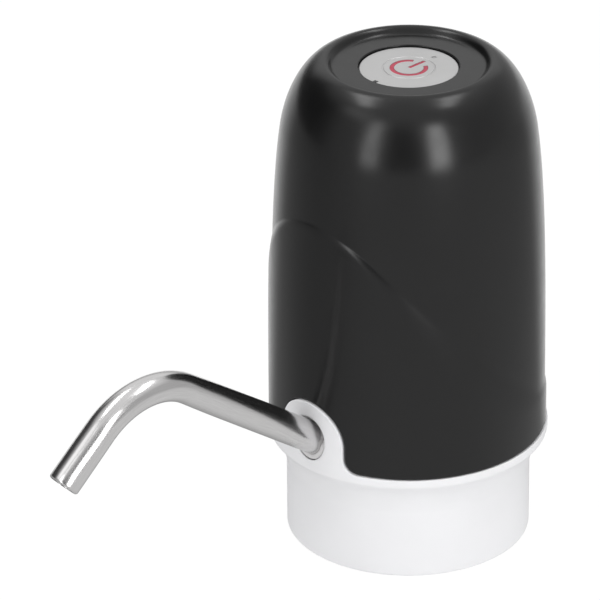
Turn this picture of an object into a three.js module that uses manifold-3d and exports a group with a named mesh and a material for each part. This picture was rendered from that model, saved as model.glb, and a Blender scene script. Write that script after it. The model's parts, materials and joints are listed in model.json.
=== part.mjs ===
// Bottled water pump: an electric pump with a push button on top, which stands on the neck of a large
// water bottle. Millimetres, +Z up. The spout points along -X. The origin is the middle of the deck's
// underside, which the mouth of the bottle meets.

import * as THREE from 'three';
import { mergeVertices } from 'three/addons/utils/BufferGeometryUtils.js';
import Module from 'manifold-3d';

// Clearances and cuts
const fitGap = 0.3;
const pinGap = 0.15;
const overrun = 1;
const weldDistance = 0.0005;

// Collar, deck and rim of the base, from the bottle's neck outwards
const neckRadius = 28;
const gripRibReach = 2.4;
const collarWall = 2.25;
const collarDepth = 26;
const collarFootChamfer = 0.6;
const deckThickness = 2.4;
const shoulderDrop = 7;
const shoulderCurveShares = [0.17, 0.125];
const shoulderReach = 4.85;
const rimTop = 5.7;
const rimBand = 1.5;
const rimEdge = 0.4;
const lipHeight = 3.8;
const lipWall = 1.6;
const gripRibCount = 12;
const gripRibWidth = 1.6;
const gripRibFoot = 2;

// Upper shell, which tapers from the rim to the hip and rounds over from there to its crest
const rimMargin = 1.13;
const shellWall = 2.1;
const sideTaper = 2.41;
const hipRise = 14;
const crownHeight = 20.2;
const plateLead = 1.13;
const plateDrop = 1.1;
const plateThickness = 2;
const hemInset = 0.45;
const hemHeight = 1.2;
const sideBulgeHeightShares = [0.361, 0.766];
const sideBulgeRadiusShare = 0.017;
const shoulderBulgeHeightShare = 0.535;
const shoulderBulgeRadiusShares = [0.104, 0.52];

// Raised lower panel of the shell and the wavy ledge that ends it
const ledgeMeanHeight = 35.75;
const ledgeSwing = 28.6;
const ledgeSecondSwing = 10.9;
const ledgeBand = 0.9;
const raiseMean = 0.72;
const raiseSwing = 0.34;

// White arch round the spout
const archHalfWidth = 11.25;
const archSpringing = 12.3;
const archRise = 10.7;
const archFootRadius = 4;
const archThickness = 2.5;

// Spout and the socket that holds it
const spoutAxisHeight = 13.2;
const spoutRise = THREE.MathUtils.degToRad(35);
const spoutRadius = 4.3;
const spoutWall = 0.5;
const spoutReach = 52.2;
const spoutBendRadius = 25.4;
const spoutBend = THREE.MathUtils.degToRad(74);
const nozzleLength = 16.6;
const socketBore = 5.6;
const socketWall = 2;
const socketDepth = 10.4;
const socketBack = 1.6;
const sealLength = 1.4;

// Button and its light
const buttonRadius = 12.9;
const buttonDrop = 0.63;
const buttonThickness = 2;
const buttonGap = 0.45;
const buttonTravel = 0.8;
const skirtWall = 1.2;
const skirtDepth = 4.6;
const flangeReach = 1.7;
const flangeThickness = 1.1;
const iconRadius = 5;
const iconStroke = 1.1;
const iconBarLength = 4.2;
const iconBarInner = 1.6;
const iconOpening = THREE.MathUtils.degToRad(60);
const lightBaseRadius = 7.4;
const lightBaseThickness = 1.2;
const keyWidth = 1.5;
const keyDepth = 0.9;
const indicatorPlace = 9.3;
const indicatorRadius = 0.75;
const indicatorFlange = 1;
const grooveInner = 6.6;
const grooveOuter = 7.5;
const grooveDepth = 0.2;

// Button board, switch and spring
const boardThickness = 1.2;
const boardMargin = 1;
const boardPostInset = 2;
const boardPostMargin = 0.8;
const boardPostRadius = 1.9;
const boardPostCount = 3;
const boardPostTurn = THREE.MathUtils.degToRad(60);
const switchSide = 6;
const switchHeight = 3.5;
const switchCavity = 2;
const switchFloor = 0.9;
const plungerRadius = 1.7;
const springPlace = 11;
const springWire = 0.4;
const springTurns = 4;
const springStepsPerTurn = 8;
const springSides = 5;
const lampSide = 1.6;
const lampHeight = 1.8;
const lampPlace = 5.2;

// Small screws: shank radius, head radius, head height
const smallScrew = { shank: 1, head: 1.9, cap: 1.3 };
const mediumScrew = { shank: 1.3, head: 2.3, cap: 1.6 };
const crossWidth = 0.6;
const crossDepth = 0.8;
const boardScrewLength = 5;
const mountScrewLength = 6.6;
const holderScrewLength = 5.6;
const housingScrewLength = 11;
const pumpScrewLength = 10.6;
const motorScrewLength = 4.2;

// Screw posts that join the shell to the deck
const postCount = 3;
const postInset = 3.4;
const postRadius = 2.9;
const postHeight = 13.5;
const postRibWidth = 2;
const seatRadius = 4;
const seatHeight = 2.1;

// Control board, charging socket and their bosses
const controlBoardInset = 6.67;
const controlBoardWidth = 22;
const controlBoardFoot = 22;
const controlBoardHeight = 36;
const controlBossSpread = 8.5;
const controlBossDrop = 8;
const controlBossRadius = 2.4;
const portWidth = 7.6;
const portHeight = 2.7;
const portRise = 6;
const portMouthWidth = 9.6;
const portMouthHeight = 4.8;
const portWall = 0.3;
const chipSide = 6;
const chipHeight = 1.3;
const chipRise = 18;

// Battery and its holder
const batteryBearing = THREE.MathUtils.degToRad(60);
const batteryMargin = 0.37;
const cellRadius = 9.2;
const cellLength = 64.2;
const cellNubRadius = 3;
const cellNubHeight = 0.8;
const holderGap = 0.4;
const holderWall = 1.4;
const holderPlate = 2;
const contactRadius = 6;
const contactThickness = 0.6;
const contactTongueWidth = 4;
const contactTongueReach = 10.4;
const tabPlace = 14;
const tabRadius = 3.2;

// Gear pump
const motorBearing = THREE.MathUtils.degToRad(-60);
const motorMargin = 4.07;
const gearSlack = 0.2;
const gearTeeth = 12;
const gearPitchRadius = 4.8;
const toothAbovePitch = 0.8;
const toothBelowPitch = 1;
const toothTip = THREE.MathUtils.degToRad(2.6);
const toothPitch = THREE.MathUtils.degToRad(5.5);
const toothRoot = THREE.MathUtils.degToRad(8.5);
const gearHeight = 7;
const pumpSideWall = 3.1;
const pumpEndWall = 2.6;
const pumpCorner = 3;
const pumpFloor = 3;
const pumpStandoff = 2.6;
const coverThickness = 3;
const coverMargin = 0.4;
const earHeight = 3;
const earRadius = 3.2;
const earReach = 12;
const leftEarShift = 2.9;
const rightEarShift = 1.8;
const inletBore = 2.4;
const inletRadius = 3.4;
const inletLength = 14;
const outletBore = 1.6;
const barbRadius = 2.7;
const barbLength = 6.5;
const pumpScrewInset = 2.3;
const grommetWall = 1;
const grommetFlange = 2;
const idlerPinRadius = 1;
const idlerPinSeat = 1.6;

// Motor
const canRadius = 12.2;
const canWall = 0.8;
const canFront = 1.5;
const canLength = 27.6;
const endcapThickness = 3.2;
const endcapPlug = 2;
const endcapBore = 8;
const lugWidth = 3;
const lugThickness = 0.8;
const lugHeight = 3.6;
const lugPlace = 6;
const shaftRadius = 1;
const bearingRadius = 3;
const bearingLength = 3;
const shaftSealLength = 1.1;
const motorScrewPlace = 8;
const magnetRoom = 2.6;
const armatureHub = 4;
const armatureStart = 5.6;
const armatureEndRoom = 6;
const armaturePoles = 3;
const poleNeckWidth = 3.4;
const poleShoeThickness = 2;
const poleShoeSweep = THREE.MathUtils.degToRad(88);

// Outlet elbow and the hose to it
const elbowRun = 7.44;
const elbowReach = 13.5;
const elbowTop = 20;
const hoseBore = 3;
const hoseWall = 0.8;
const hoseStraight = 7;
const hoseGrip = 7.5;
const hosePullOut = 12;
const hoseLoopPull = 24;
const hoseSteps = 12;

// Leads
const leadRadius = 0.6;
const leadApproach = 2.5;
const leadSides = 5;
const leadSteps = 9;
const ribbonWidth = 5;
const ribbonThickness = 0.6;
const ribbonInset = 3.9;

// Sides of round shapes
const bodySides = 48;
const largeSides = 32;
const mediumSides = 24;
const smallSides = 14;
const tinySides = 8;
const curveSteps = 8;
const tubeSegments = 9;
const hoseSegments = 5;
const cornerSegments = 3;

// Radii and places that follow from the sizes above
const collarBore = neckRadius + gripRibReach;
const collarRadius = collarBore + collarWall;
const rimRadius = collarRadius + shoulderReach;
const shellFootRadius = rimRadius - rimMargin;
const shellHipRadius = shellFootRadius - sideTaper;
const shellBore = shellFootRadius - shellWall;
const lipRadius = shellBore - fitGap;
const boardPostPlace = buttonRadius + flangeReach + boardPostMargin + boardPostRadius;
const buttonBoardRadius = boardPostPlace + boardPostInset;
const plateRadius = buttonBoardRadius + boardMargin;
const crestRadius = plateRadius + plateLead;
const ribbonPlace = buttonBoardRadius - ribbonInset;
const postPlace = collarBore - postInset;
const socketRadius = socketBore + socketWall;
const holderRadius = cellRadius + holderGap + holderWall;
const batteryPlace = lipRadius - lipWall - batteryMargin - holderRadius;
const batteryX = batteryPlace * Math.cos(batteryBearing);
const batteryY = batteryPlace * Math.sin(batteryBearing);
const gearTipRadius = gearPitchRadius + toothAbovePitch;
const gearRootRadius = gearPitchRadius - toothBelowPitch;
const cavityRadius = gearTipRadius + fitGap;
const pumpHalfWidth = cavityRadius + pumpSideWall;
const motorPlace = shellBore - motorMargin - canRadius;
const pumpX = motorPlace * Math.cos(motorBearing);
const driveY = motorPlace * Math.sin(motorBearing);
const idlerY = driveY + 2 * gearPitchRadius + gearSlack;
const meshY = (driveY + idlerY) / 2;
const pumpFrontY = driveY - cavityRadius - pumpEndWall;
const pumpBackY = idlerY + cavityRadius + pumpEndWall;
const leftEarX = pumpX - earReach;
const leftEarY = driveY - leftEarShift;
const rightEarX = pumpX + earReach;
const rightEarY = idlerY + rightEarShift;
const coverRound = canRadius + coverMargin;
const armatureRadius = canRadius - canWall - magnetRoom;
const armatureLength = canLength - armatureStart - armatureEndRoom;
const hoseRadius = hoseBore + hoseWall;
const controlBoardPlace = shellBore - controlBoardInset;
const smallHole = smallScrew.shank + pinGap;
const mediumHole = mediumScrew.shank + pinGap;

// Heights that follow from the sizes above
const deckBossTop = deckThickness + pumpStandoff;
const seatTop = deckThickness + seatHeight;
const holderFoot = deckBossTop;
const cellFoot = holderFoot + holderPlate + contactThickness + 2 * pinGap;
const cellTop = cellFoot + cellLength + cellNubHeight;
const holderTop = cellTop + contactThickness + 2 * pinGap + holderPlate;
const shellHipHeight = holderTop + hipRise;
const crestHeight = shellHipHeight + crownHeight;
const plateTop = crestHeight - plateDrop;
const plateUnderside = plateTop - plateThickness;
const buttonTop = plateTop - buttonDrop;
const buttonUnderside = buttonTop - buttonThickness;
const flangeTop = plateUnderside - fitGap;
const lightBaseTop = buttonUnderside - pinGap;
const lightBaseFoot = lightBaseTop - lightBaseThickness;
const skirtFoot = buttonUnderside - skirtDepth;
const plungerTop = lightBaseFoot - pinGap;
const switchTop = lightBaseFoot - buttonTravel - fitGap;
const buttonBoardTop = switchTop - switchHeight;
const plungerFoot = buttonBoardTop + switchFloor + buttonTravel + pinGap;
const buttonBoardFoot = buttonBoardTop - boardThickness;
const pumpFoot = deckBossTop;
const cavityFloor = pumpFoot + pumpFloor;
const pumpTop = cavityFloor + gearHeight + 2 * pinGap;
const coverTop = pumpTop + coverThickness;
const outletHeight = cavityFloor + gearHeight / 3;
const canTop = coverTop + canLength;
const motorTop = canTop + endcapThickness;
const controlBoardTop = controlBoardFoot + controlBoardHeight;
const controlBossHeight = controlBoardTop - controlBossDrop;
const portPlace = controlBoardFoot + portRise;
const chipPlace = controlBoardFoot + chipRise;

// Colours, roughness and metalness
function finish(color, roughness, metalness) {
  return new THREE.MeshStandardMaterial({ color, roughness, metalness });
}
const blackGloss = finish(0x2d2d2f, 0.3, 0);
const whitePlastic = finish(0xe9e9ea, 0.4, 0);
const silver = finish(0xb9babc, 0.35, 0.6);
const steel = finish(0xc4c4c4, 0.22, 1);
const redLight = finish(0xb8475a, 0.45, 0);
const paleLens = finish(0xd8d8d8, 0.3, 0);
const paleRubber = finish(0xc9c7c6, 0.6, 0);
const clearHose = finish(0xdcdad4, 0.35, 0);
const blackRubber = finish(0x1b1b1b, 0.8, 0);
const boardGreen = finish(0x1d5a3a, 0.5, 0);
const blackPlastic = finish(0x222224, 0.55, 0);
const greyPlastic = finish(0x77797c, 0.5, 0);
const brass = finish(0xb08d45, 0.35, 1);
const copper = finish(0xa85f35, 0.35, 1);
const motorSteel = finish(0x9fa2a5, 0.35, 1);
const cellWrap = finish(0x3f6fb0, 0.4, 0);
const redLeadPlastic = finish(0xb02020, 0.5, 0);
const blackLeadPlastic = finish(0x151515, 0.5, 0);

// Solids
const wasm = await Module();
wasm.setup();

function solidOf(geometry) {
  const bare = geometry.clone();
  bare.deleteAttribute('normal');
  bare.deleteAttribute('uv');
  const merged = mergeVertices(bare, weldDistance);
  const corners = merged.index.array;
  const kept = [];
  for (let i = 0; i < corners.length; i += 3) {
    const [a, b, c] = [corners[i], corners[i + 1], corners[i + 2]];
    if (a !== b && b !== c && c !== a) kept.push(a, b, c);
  }
  const mesh = new wasm.Mesh({
    numProp: 3,
    vertProperties: new Float32Array(merged.attributes.position.array),
    triVerts: new Uint32Array(kept),
  });
  mesh.merge();
  return new wasm.Manifold(mesh);
}

function joined(...geometries) {
  return geometries.map(solidOf).reduce((whole, next) => whole.add(next));
}

function geometryOf(solid) {
  const mesh = solid.getMesh();
  const geometry = new THREE.BufferGeometry();
  geometry.setAttribute('position', new THREE.BufferAttribute(new Float32Array(mesh.vertProperties), 3));
  geometry.setIndex(new THREE.BufferAttribute(new Uint32Array(mesh.triVerts), 1));
  return geometry;
}

// Basic shapes along +Z
function rod(radius, bottom, top, sides = smallSides) {
  const shape = new THREE.CylinderGeometry(radius, radius, top - bottom, sides);
  return shape.rotateX(Math.PI / 2).translate(0, 0, (bottom + top) / 2);
}

function block(x0, x1, y0, y1, z0, z1) {
  const shape = new THREE.BoxGeometry(x1 - x0, y1 - y0, z1 - z0);
  return shape.translate((x0 + x1) / 2, (y0 + y1) / 2, (z0 + z1) / 2);
}

function turned(profile, sides = smallSides) {
  const points = profile.map(([radius, height]) => new THREE.Vector2(radius, height));
  const onAxis = profile[0][0] === 0 && profile[profile.length - 1][0] === 0;
  if (!onAxis) points.push(points[0].clone());
  return new THREE.LatheGeometry(points, sides).rotateX(Math.PI / 2);
}

function ring(inner, outer, bottom, top, sides = smallSides) {
  return turned([[inner, bottom], [outer, bottom], [outer, top], [inner, top]], sides);
}

function plate(outline, bottom, top, segments = curveSteps) {
  const settings = { depth: top - bottom, bevelEnabled: false, curveSegments: segments };
  return new THREE.ExtrudeGeometry(outline, settings).translate(0, 0, bottom);
}

function polar(radius, angle) {
  return [radius * Math.cos(angle), radius * Math.sin(angle)];
}

function evenAngles(count, first = 0) {
  return Array.from({ length: count }, (_, i) => first + (i * 2 * Math.PI) / count);
}

// A path that steps from one station to the next, so that a straight run takes one step.
class StationPath extends THREE.Curve {
  constructor(stations) {
    super();
    this.stations = stations;
  }
  at(share) {
    return this.stations[Math.round(share * (this.stations.length - 1))];
  }
  getPointAt(share) {
    return this.at(share).point.clone();
  }
  getTangentAt(share) {
    return this.at(share).tangent.clone();
  }
}

function stationsAlong(curve, steps) {
  return Array.from({ length: steps + 1 }, (_, i) => ({
    point: curve.getPoint(i / steps),
    tangent: curve.getTangent(i / steps),
  }));
}

function swept(outline, stations, segments = curveSteps) {
  const settings = {
    steps: stations.length - 1,
    extrudePath: new StationPath(stations),
    curveSegments: segments,
  };
  return new THREE.ExtrudeGeometry(outline, settings);
}

function discOutline(radius, hole = 0) {
  const outline = new THREE.Shape();
  outline.absarc(0, 0, radius, 0, 2 * Math.PI, false);
  if (hole > 0) {
    const inside = new THREE.Path();
    inside.absarc(0, 0, hole, 0, 2 * Math.PI, true);
    outline.holes.push(inside);
  }
  return outline;
}

// The model as one group
const pump = new THREE.Group();

function add(name, solid, material, parent = pump) {
  const mesh = new THREE.Mesh(geometryOf(solid), material);
  mesh.name = name;
  parent.add(mesh);
  return mesh;
}

function groupAt(x, y, z = 0) {
  const group = new THREE.Group();
  group.position.set(x, y, z);
  pump.add(group);
  return group;
}

// Outer side of the shell, before the raised panel
function shellProfile() {
  const footToHip = shellHipHeight - rimTop;
  const crownTaper = shellHipRadius - crestRadius;
  const side = new THREE.CubicBezierCurve(
    new THREE.Vector2(shellFootRadius, rimTop),
    new THREE.Vector2(shellFootRadius, rimTop + sideBulgeHeightShares[0] * footToHip),
    new THREE.Vector2(
      shellFootRadius - sideBulgeRadiusShare * sideTaper,
      rimTop + sideBulgeHeightShares[1] * footToHip,
    ),
    new THREE.Vector2(shellHipRadius, shellHipHeight),
  );
  const crown = new THREE.CubicBezierCurve(
    new THREE.Vector2(shellHipRadius, shellHipHeight),
    new THREE.Vector2(
      shellHipRadius - shoulderBulgeRadiusShares[0] * crownTaper,
      shellHipHeight + shoulderBulgeHeightShare * crownHeight,
    ),
    new THREE.Vector2(shellHipRadius - shoulderBulgeRadiusShares[1] * crownTaper, crestHeight),
    new THREE.Vector2(crestRadius, crestHeight),
  );
  return { side: side.getPoints(2 * curveSteps), crown: crown.getPoints(curveSteps) };
}

const profile = shellProfile();

function sideRadius(height) {
  const points = profile.side;
  const above = points.findIndex((point) => point.y > height);
  if (above < 1) return above === 0 ? points[0].x : points[points.length - 1].x;
  const share = (height - points[above - 1].y) / (points[above].y - points[above - 1].y);
  return THREE.MathUtils.lerp(points[above - 1].x, points[above].x, share);
}

// Raised panel, by the angle from the spout
function ledgeHeight(angle) {
  return ledgeMeanHeight + ledgeSwing * Math.cos(angle) + ledgeSecondSwing * Math.cos(2 * angle);
}

function panelRaise(angle) {
  return raiseMean + raiseSwing * Math.cos(angle);
}

// Heights and radii of the shell's skin on one upright line, from its foot to the recessed plate
function skinLine(angle) {
  const ledge = ledgeHeight(angle);
  const raise = panelRaise(angle);
  const panelFoot = rimTop + hemHeight;
  const panelTop = ledge - ledgeBand;
  const line = [[shellFootRadius + raise - hemInset, rimTop]];
  for (const share of [0, 1 / 2, 1]) {
    const height = THREE.MathUtils.lerp(panelFoot, panelTop, share);
    line.push([sideRadius(height) + raise, height]);
  }
  for (const share of [0, 1 / 3, 2 / 3]) {
    const height = THREE.MathUtils.lerp(ledge, shellHipHeight, share);
    line.push([sideRadius(height), height]);
  }
  profile.crown.forEach((point) => line.push([point.x, point.y]));
  line.push([plateRadius, plateTop]);
  return line;
}

function shellSkin() {
  const lines = evenAngles(bodySides).map((angle) => ({
    angle,
    points: skinLine(angle - Math.PI),
  }));
  const rows = lines[0].points.length;
  const positions = [];
  lines.forEach(({ angle, points }) => {
    points.forEach(([radius, height]) => positions.push(...polar(radius, angle), height));
  });
  const footCentre = positions.length / 3;
  positions.push(0, 0, rimTop, 0, 0, plateTop);
  const faces = [];
  for (let i = 0; i < bodySides; i += 1) {
    const here = i * rows;
    const next = ((i + 1) % bodySides) * rows;
    for (let row = 0; row < rows - 1; row += 1) {
      faces.push(here + row, next + row, next + row + 1);
      faces.push(here + row, next + row + 1, here + row + 1);
    }
    faces.push(footCentre, next, here);
    faces.push(footCentre + 1, here + rows - 1, next + rows - 1);
  }
  const skin = new THREE.BufferGeometry();
  skin.setAttribute('position', new THREE.Float32BufferAttribute(positions, 3));
  skin.setIndex(faces);
  return skin;
}

function shellHollow() {
  const points = [[0, rimTop - overrun], [shellBore, rimTop - overrun]];
  profile.side.forEach((point, i) => {
    if (i > 0 && i % curveSteps === 0) points.push([point.x - shellWall, point.y]);
  });
  profile.crown.forEach((point, i) => {
    if (i % 2 === 0 && point.y > shellHipHeight && point.y < plateUnderside) {
      points.push([point.x - shellWall, point.y]);
    }
  });
  const last = points[points.length - 1];
  points.push([last[0] - (plateUnderside - last[1]), plateUnderside], [0, plateUnderside]);
  return turned(points, bodySides);
}

// Outline of the white arch, seen along the spout, with concave feet that run into the rim
function archOutline(grow, foot) {
  const halfWidth = archHalfWidth + grow;
  const footRadius = archFootRadius - grow;
  const footTop = rimTop + archFootRadius;
  const outline = new THREE.Shape();
  outline.moveTo(-halfWidth - footRadius, foot);
  outline.lineTo(halfWidth + footRadius, foot);
  outline.lineTo(halfWidth + footRadius, footTop - footRadius);
  outline.absarc(halfWidth + footRadius, footTop, footRadius, -Math.PI / 2, Math.PI, true);
  outline.lineTo(halfWidth, archSpringing);
  outline.absellipse(0, archSpringing, halfWidth, archRise + grow, 0, Math.PI, false, 0);
  outline.lineTo(-halfWidth, footTop);
  outline.absarc(-halfWidth - footRadius, footTop, footRadius, 0, -Math.PI / 2, true);
  return outline;
}

function archPrism(grow, foot, inner, outer) {
  const settings = { depth: outer - inner, bevelEnabled: false, curveSegments: curveSteps };
  const prism = new THREE.ExtrudeGeometry(archOutline(grow, foot), settings);
  return prism.rotateX(Math.PI / 2).rotateZ(-Math.PI / 2).translate(-inner, 0, 0);
}

// The spout's own frame: its +Z runs out of the body along the first straight of the tube
function toSpoutFrame(object) {
  object.rotation.y = spoutRise - Math.PI / 2;
  object.position.set(-rimRadius, 0, spoutAxisHeight);
  object.updateMatrix();
  return object;
}
const spoutMatrix = toSpoutFrame(new THREE.Object3D()).matrix;

function alongSpout(geometry) {
  return geometry.applyMatrix4(spoutMatrix);
}

// Upper shell, with the posts that its screws go up into
function shellPosts() {
  const posts = evenAngles(postCount).map((angle) => {
    const post = rod(postRadius, seatTop, seatTop + postHeight, smallSides).translate(postPlace, 0, 0);
    const ribFoot = rimTop + lipHeight + fitGap;
    const half = postRibWidth / 2;
    const rib = block(postPlace, shellFootRadius, -half, half, ribFoot, seatTop + postHeight);
    return solidOf(post).add(solidOf(rib)).rotate([0, 0, THREE.MathUtils.radToDeg(angle)]);
  });
  evenAngles(boardPostCount, boardPostTurn).forEach((angle) => {
    const [x, y] = polar(boardPostPlace, angle);
    const root = plateUnderside + plateThickness / 2;
    posts.push(solidOf(rod(boardPostRadius, buttonBoardTop, root, tinySides).translate(x, y, 0)));
  });
  for (const side of [-1, 1]) {
    posts.push(solidOf(controlBoss(controlBossRadius, 0, side)));
  }
  return posts.reduce((whole, next) => whole.add(next));
}

function controlBoss(radius, start, side) {
  const face = controlBoardPlace + boardThickness + start;
  const boss = rod(radius, face, shellFootRadius, tinySides).rotateY(Math.PI / 2);
  return boss.translate(0, side * controlBossSpread, controlBossHeight);
}

function topHousing() {
  const skin = solidOf(shellSkin());
  let shell = skin.subtract(solidOf(shellHollow())).add(shellPosts().intersect(skin));
  evenAngles(postCount).forEach((angle) => {
    const [x, y] = polar(postPlace, angle);
    const top = seatTop - deckThickness + housingScrewLength + overrun;
    const pilot = rod(mediumHole, seatTop - overrun, top, tinySides);
    shell = shell.subtract(solidOf(pilot.translate(x, y, 0)));
  });
  evenAngles(boardPostCount, boardPostTurn).forEach((angle) => {
    const [x, y] = polar(boardPostPlace, angle);
    const top = buttonBoardFoot + boardScrewLength + pinGap;
    const pilot = rod(smallHole, buttonBoardTop - overrun, top, tinySides);
    shell = shell.subtract(solidOf(pilot.translate(x, y, 0)));
  });
  for (const side of [-1, 1]) {
    const pilot = rod(smallHole, 0, boardScrewLength + pinGap, tinySides);
    pilot.rotateY(Math.PI / 2).translate(controlBoardPlace, side * controlBossSpread, controlBossHeight);
    shell = shell.subtract(solidOf(pilot));
  }
  const holeRadius = buttonRadius + buttonGap;
  const buttonHole = rod(holeRadius, plateUnderside - overrun, crestHeight + overrun, largeSides);
  const arch = archPrism(fitGap, rimTop - overrun, shellBore - archThickness, rimRadius + overrun);
  const halfMouth = portMouthWidth / 2;
  const mouth = block(
    shellBore - shellWall, rimRadius + overrun, -halfMouth, halfMouth,
    portPlace - portMouthHeight / 2, portPlace + portMouthHeight / 2,
  );
  return shell.subtract(solidOf(buttonHole)).subtract(solidOf(arch)).subtract(solidOf(mouth));
}

// Base: collar for the bottle's neck, deck, rim, arch, spout socket and seats for the inner parts
function baseBody() {
  const shoulder = new THREE.QuadraticBezierCurve(
    new THREE.Vector2(collarRadius, -shoulderDrop),
    new THREE.Vector2(
      THREE.MathUtils.lerp(collarRadius, rimRadius, shoulderCurveShares[0]),
      -shoulderDrop * shoulderCurveShares[1],
    ),
    new THREE.Vector2(rimRadius, rimTop - rimEdge - rimBand),
  ).getPoints(curveSteps / 2);
  const outline = [
    [0, 0],
    [collarBore, 0],
    [collarBore, -collarDepth],
    [collarRadius - collarFootChamfer, -collarDepth],
    [collarRadius, collarFootChamfer - collarDepth],
    ...shoulder.map((point) => [point.x, point.y]),
    [rimRadius, rimTop - rimEdge],
    [rimRadius - rimEdge, rimTop],
    [lipRadius, rimTop],
    [lipRadius, rimTop + lipHeight],
    [lipRadius - lipWall, rimTop + lipHeight],
    [lipRadius - lipWall, deckThickness],
    [0, deckThickness],
  ];
  return solidOf(turned(outline, bodySides));
}

function spoutHolder() {
  const tabRing = ring(rimRadius - archThickness, rimRadius, 0, crestHeight, bodySides);
  const tab = solidOf(archPrism(0, rimTop - rimBand, shellBore - archThickness, rimRadius + overrun))
    .intersect(solidOf(tabRing));
  const socket = alongSpout(rod(socketRadius, -socketDepth - socketBack, archRise, mediumSides));
  const inside = rod(rimRadius, 0, crestHeight, bodySides);
  return tab.add(solidOf(socket).intersect(solidOf(inside)));
}

function deckSeats() {
  const seats = evenAngles(postCount).map((angle) => {
    const [x, y] = polar(postPlace, angle);
    return solidOf(rod(seatRadius, deckThickness / 2, seatTop).translate(x, y, 0));
  });
  mountPlaces().forEach(([x, y]) => {
    seats.push(solidOf(rod(earRadius, deckThickness / 2, deckBossTop).translate(x, y, 0)));
  });
  evenAngles(gripRibCount, Math.PI / gripRibCount).forEach((angle) => {
    const half = gripRibWidth / 2;
    const root = collarBore + collarWall / 2;
    const rib = block(neckRadius, root, -half, half, gripRibFoot - collarDepth, deckThickness / 2);
    seats.push(solidOf(rib.rotateZ(angle)));
  });
  return seats.reduce((whole, next) => whole.add(next));
}

function mountPlaces() {
  return [[leftEarX, leftEarY], [rightEarX, rightEarY], ...tabPlaces()];
}

function tabPlaces() {
  return [1, -1].map((side) => {
    const [dx, dy] = polar(tabPlace, batteryBearing + (side * Math.PI) / 2);
    return [batteryX + dx, batteryY + dy];
  });
}

function baseCollar() {
  let base = baseBody().add(spoutHolder()).add(deckSeats());
  base = base.subtract(solidOf(alongSpout(rod(socketBore, -socketDepth, spoutReach, mediumSides))));
  const outletFoot = -socketDepth - socketBack - overrun;
  const outlet = rod(barbRadius + pinGap, outletFoot, overrun - socketDepth, smallSides);
  base = base.subtract(solidOf(alongSpout(outlet)));
  evenAngles(postCount).forEach((angle) => {
    const [x, y] = polar(postPlace, angle);
    const sink = rod(mediumScrew.head + fitGap, -overrun, deckThickness, smallSides);
    const hole = rod(mediumScrew.shank + fitGap, -overrun, seatTop + overrun, tinySides);
    base = base.subtract(solidOf(sink.translate(x, y, 0))).subtract(solidOf(hole.translate(x, y, 0)));
  });
  mountPlaces().forEach(([x, y]) => {
    const pilot = rod(mediumHole, deckThickness / 2, deckBossTop + overrun, tinySides);
    base = base.subtract(solidOf(pilot.translate(x, y, 0)));
  });
  const inletX = pumpX + inletOffset();
  const inletHole = rod(inletRadius + fitGap + grommetWall + fitGap, -overrun, deckThickness + overrun);
  return base.subtract(solidOf(inletHole.translate(inletX, meshY, 0)));
}

function inletOffset() {
  return gearRootRadius + outletBore;
}

// A pan-head screw that points up, with its head's seat at height 0
function screw({ shank, head, cap }, length, sides = tinySides) {
  return solidOf(turned([
    [0, -cap],
    [head, -cap],
    [head, 0],
    [shank, 0],
    [shank, length],
    [0, length],
  ], sides));
}

function crossHeadScrew(sizes, length) {
  const half = crossWidth / 2;
  const arm = sizes.head / 2;
  const slots = joined(
    block(-arm, arm, -half, half, -sizes.cap - overrun, crossDepth - sizes.cap),
    block(-half, half, -arm, arm, -sizes.cap - overrun, crossDepth - sizes.cap),
  );
  return screw(sizes, length, smallSides).subtract(slots);
}

function screwDown(sizes, length) {
  return screw(sizes, length).rotate([180, 0, 0]);
}

function addHousingScrews() {
  evenAngles(postCount).forEach((angle, i) => {
    const [x, y] = polar(postPlace, angle);
    const place = groupAt(x, y, deckThickness - pinGap);
    add(`housing_screw_${i + 1}`, crossHeadScrew(mediumScrew, housingScrewLength), motorSteel, place);
  });
}

// Spout tube: straight, bend, straight nozzle
function spoutStations(start) {
  const up = new THREE.Vector3(0, 0, 1);
  const stations = [
    { point: new THREE.Vector3(0, 0, start), tangent: up },
    { point: new THREE.Vector3(0, 0, spoutReach), tangent: up },
  ];
  const bendSteps = curveSteps + 2;
  for (let i = 1; i <= bendSteps; i += 1) {
    const turn = (spoutBend * i) / bendSteps;
    const point = new THREE.Vector3(
      -spoutBendRadius * (1 - Math.cos(turn)),
      0,
      spoutReach + spoutBendRadius * Math.sin(turn),
    );
    stations.push({ point, tangent: new THREE.Vector3(-Math.sin(turn), 0, Math.cos(turn)) });
  }
  const last = stations[stations.length - 1];
  const tip = last.point.clone().addScaledVector(last.tangent, nozzleLength);
  stations.push({ point: tip, tangent: last.tangent });
  return stations;
}

function addSpout() {
  const frame = toSpoutFrame(new THREE.Group());
  pump.add(frame);
  const tubeFoot = fitGap - socketDepth;
  const outline = discOutline(spoutRadius, spoutRadius - spoutWall);
  add('spout_tube', solidOf(swept(outline, spoutStations(tubeFoot), tubeSegments)), steel, frame);
  const bore = spoutRadius + fitGap;
  const sleeve = socketBore - fitGap;
  const middle = (bore + sleeve) / 2;
  const sealTop = tubeFoot + sealLength;
  const seal = turned([
    [bore, tubeFoot + sealLength / 2],
    [middle, tubeFoot],
    [sleeve, tubeFoot + sealLength / 2],
    [middle, sealTop],
  ], mediumSides);
  const colletTop = -(socketBore * Math.tan(spoutRise) + pinGap);
  const collet = ring(bore, sleeve, sealTop + pinGap, colletTop, mediumSides);
  add('spout_collet', solidOf(collet), paleRubber, frame);
  add('spout_seal', solidOf(seal), blackRubber, frame);
}

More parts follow.
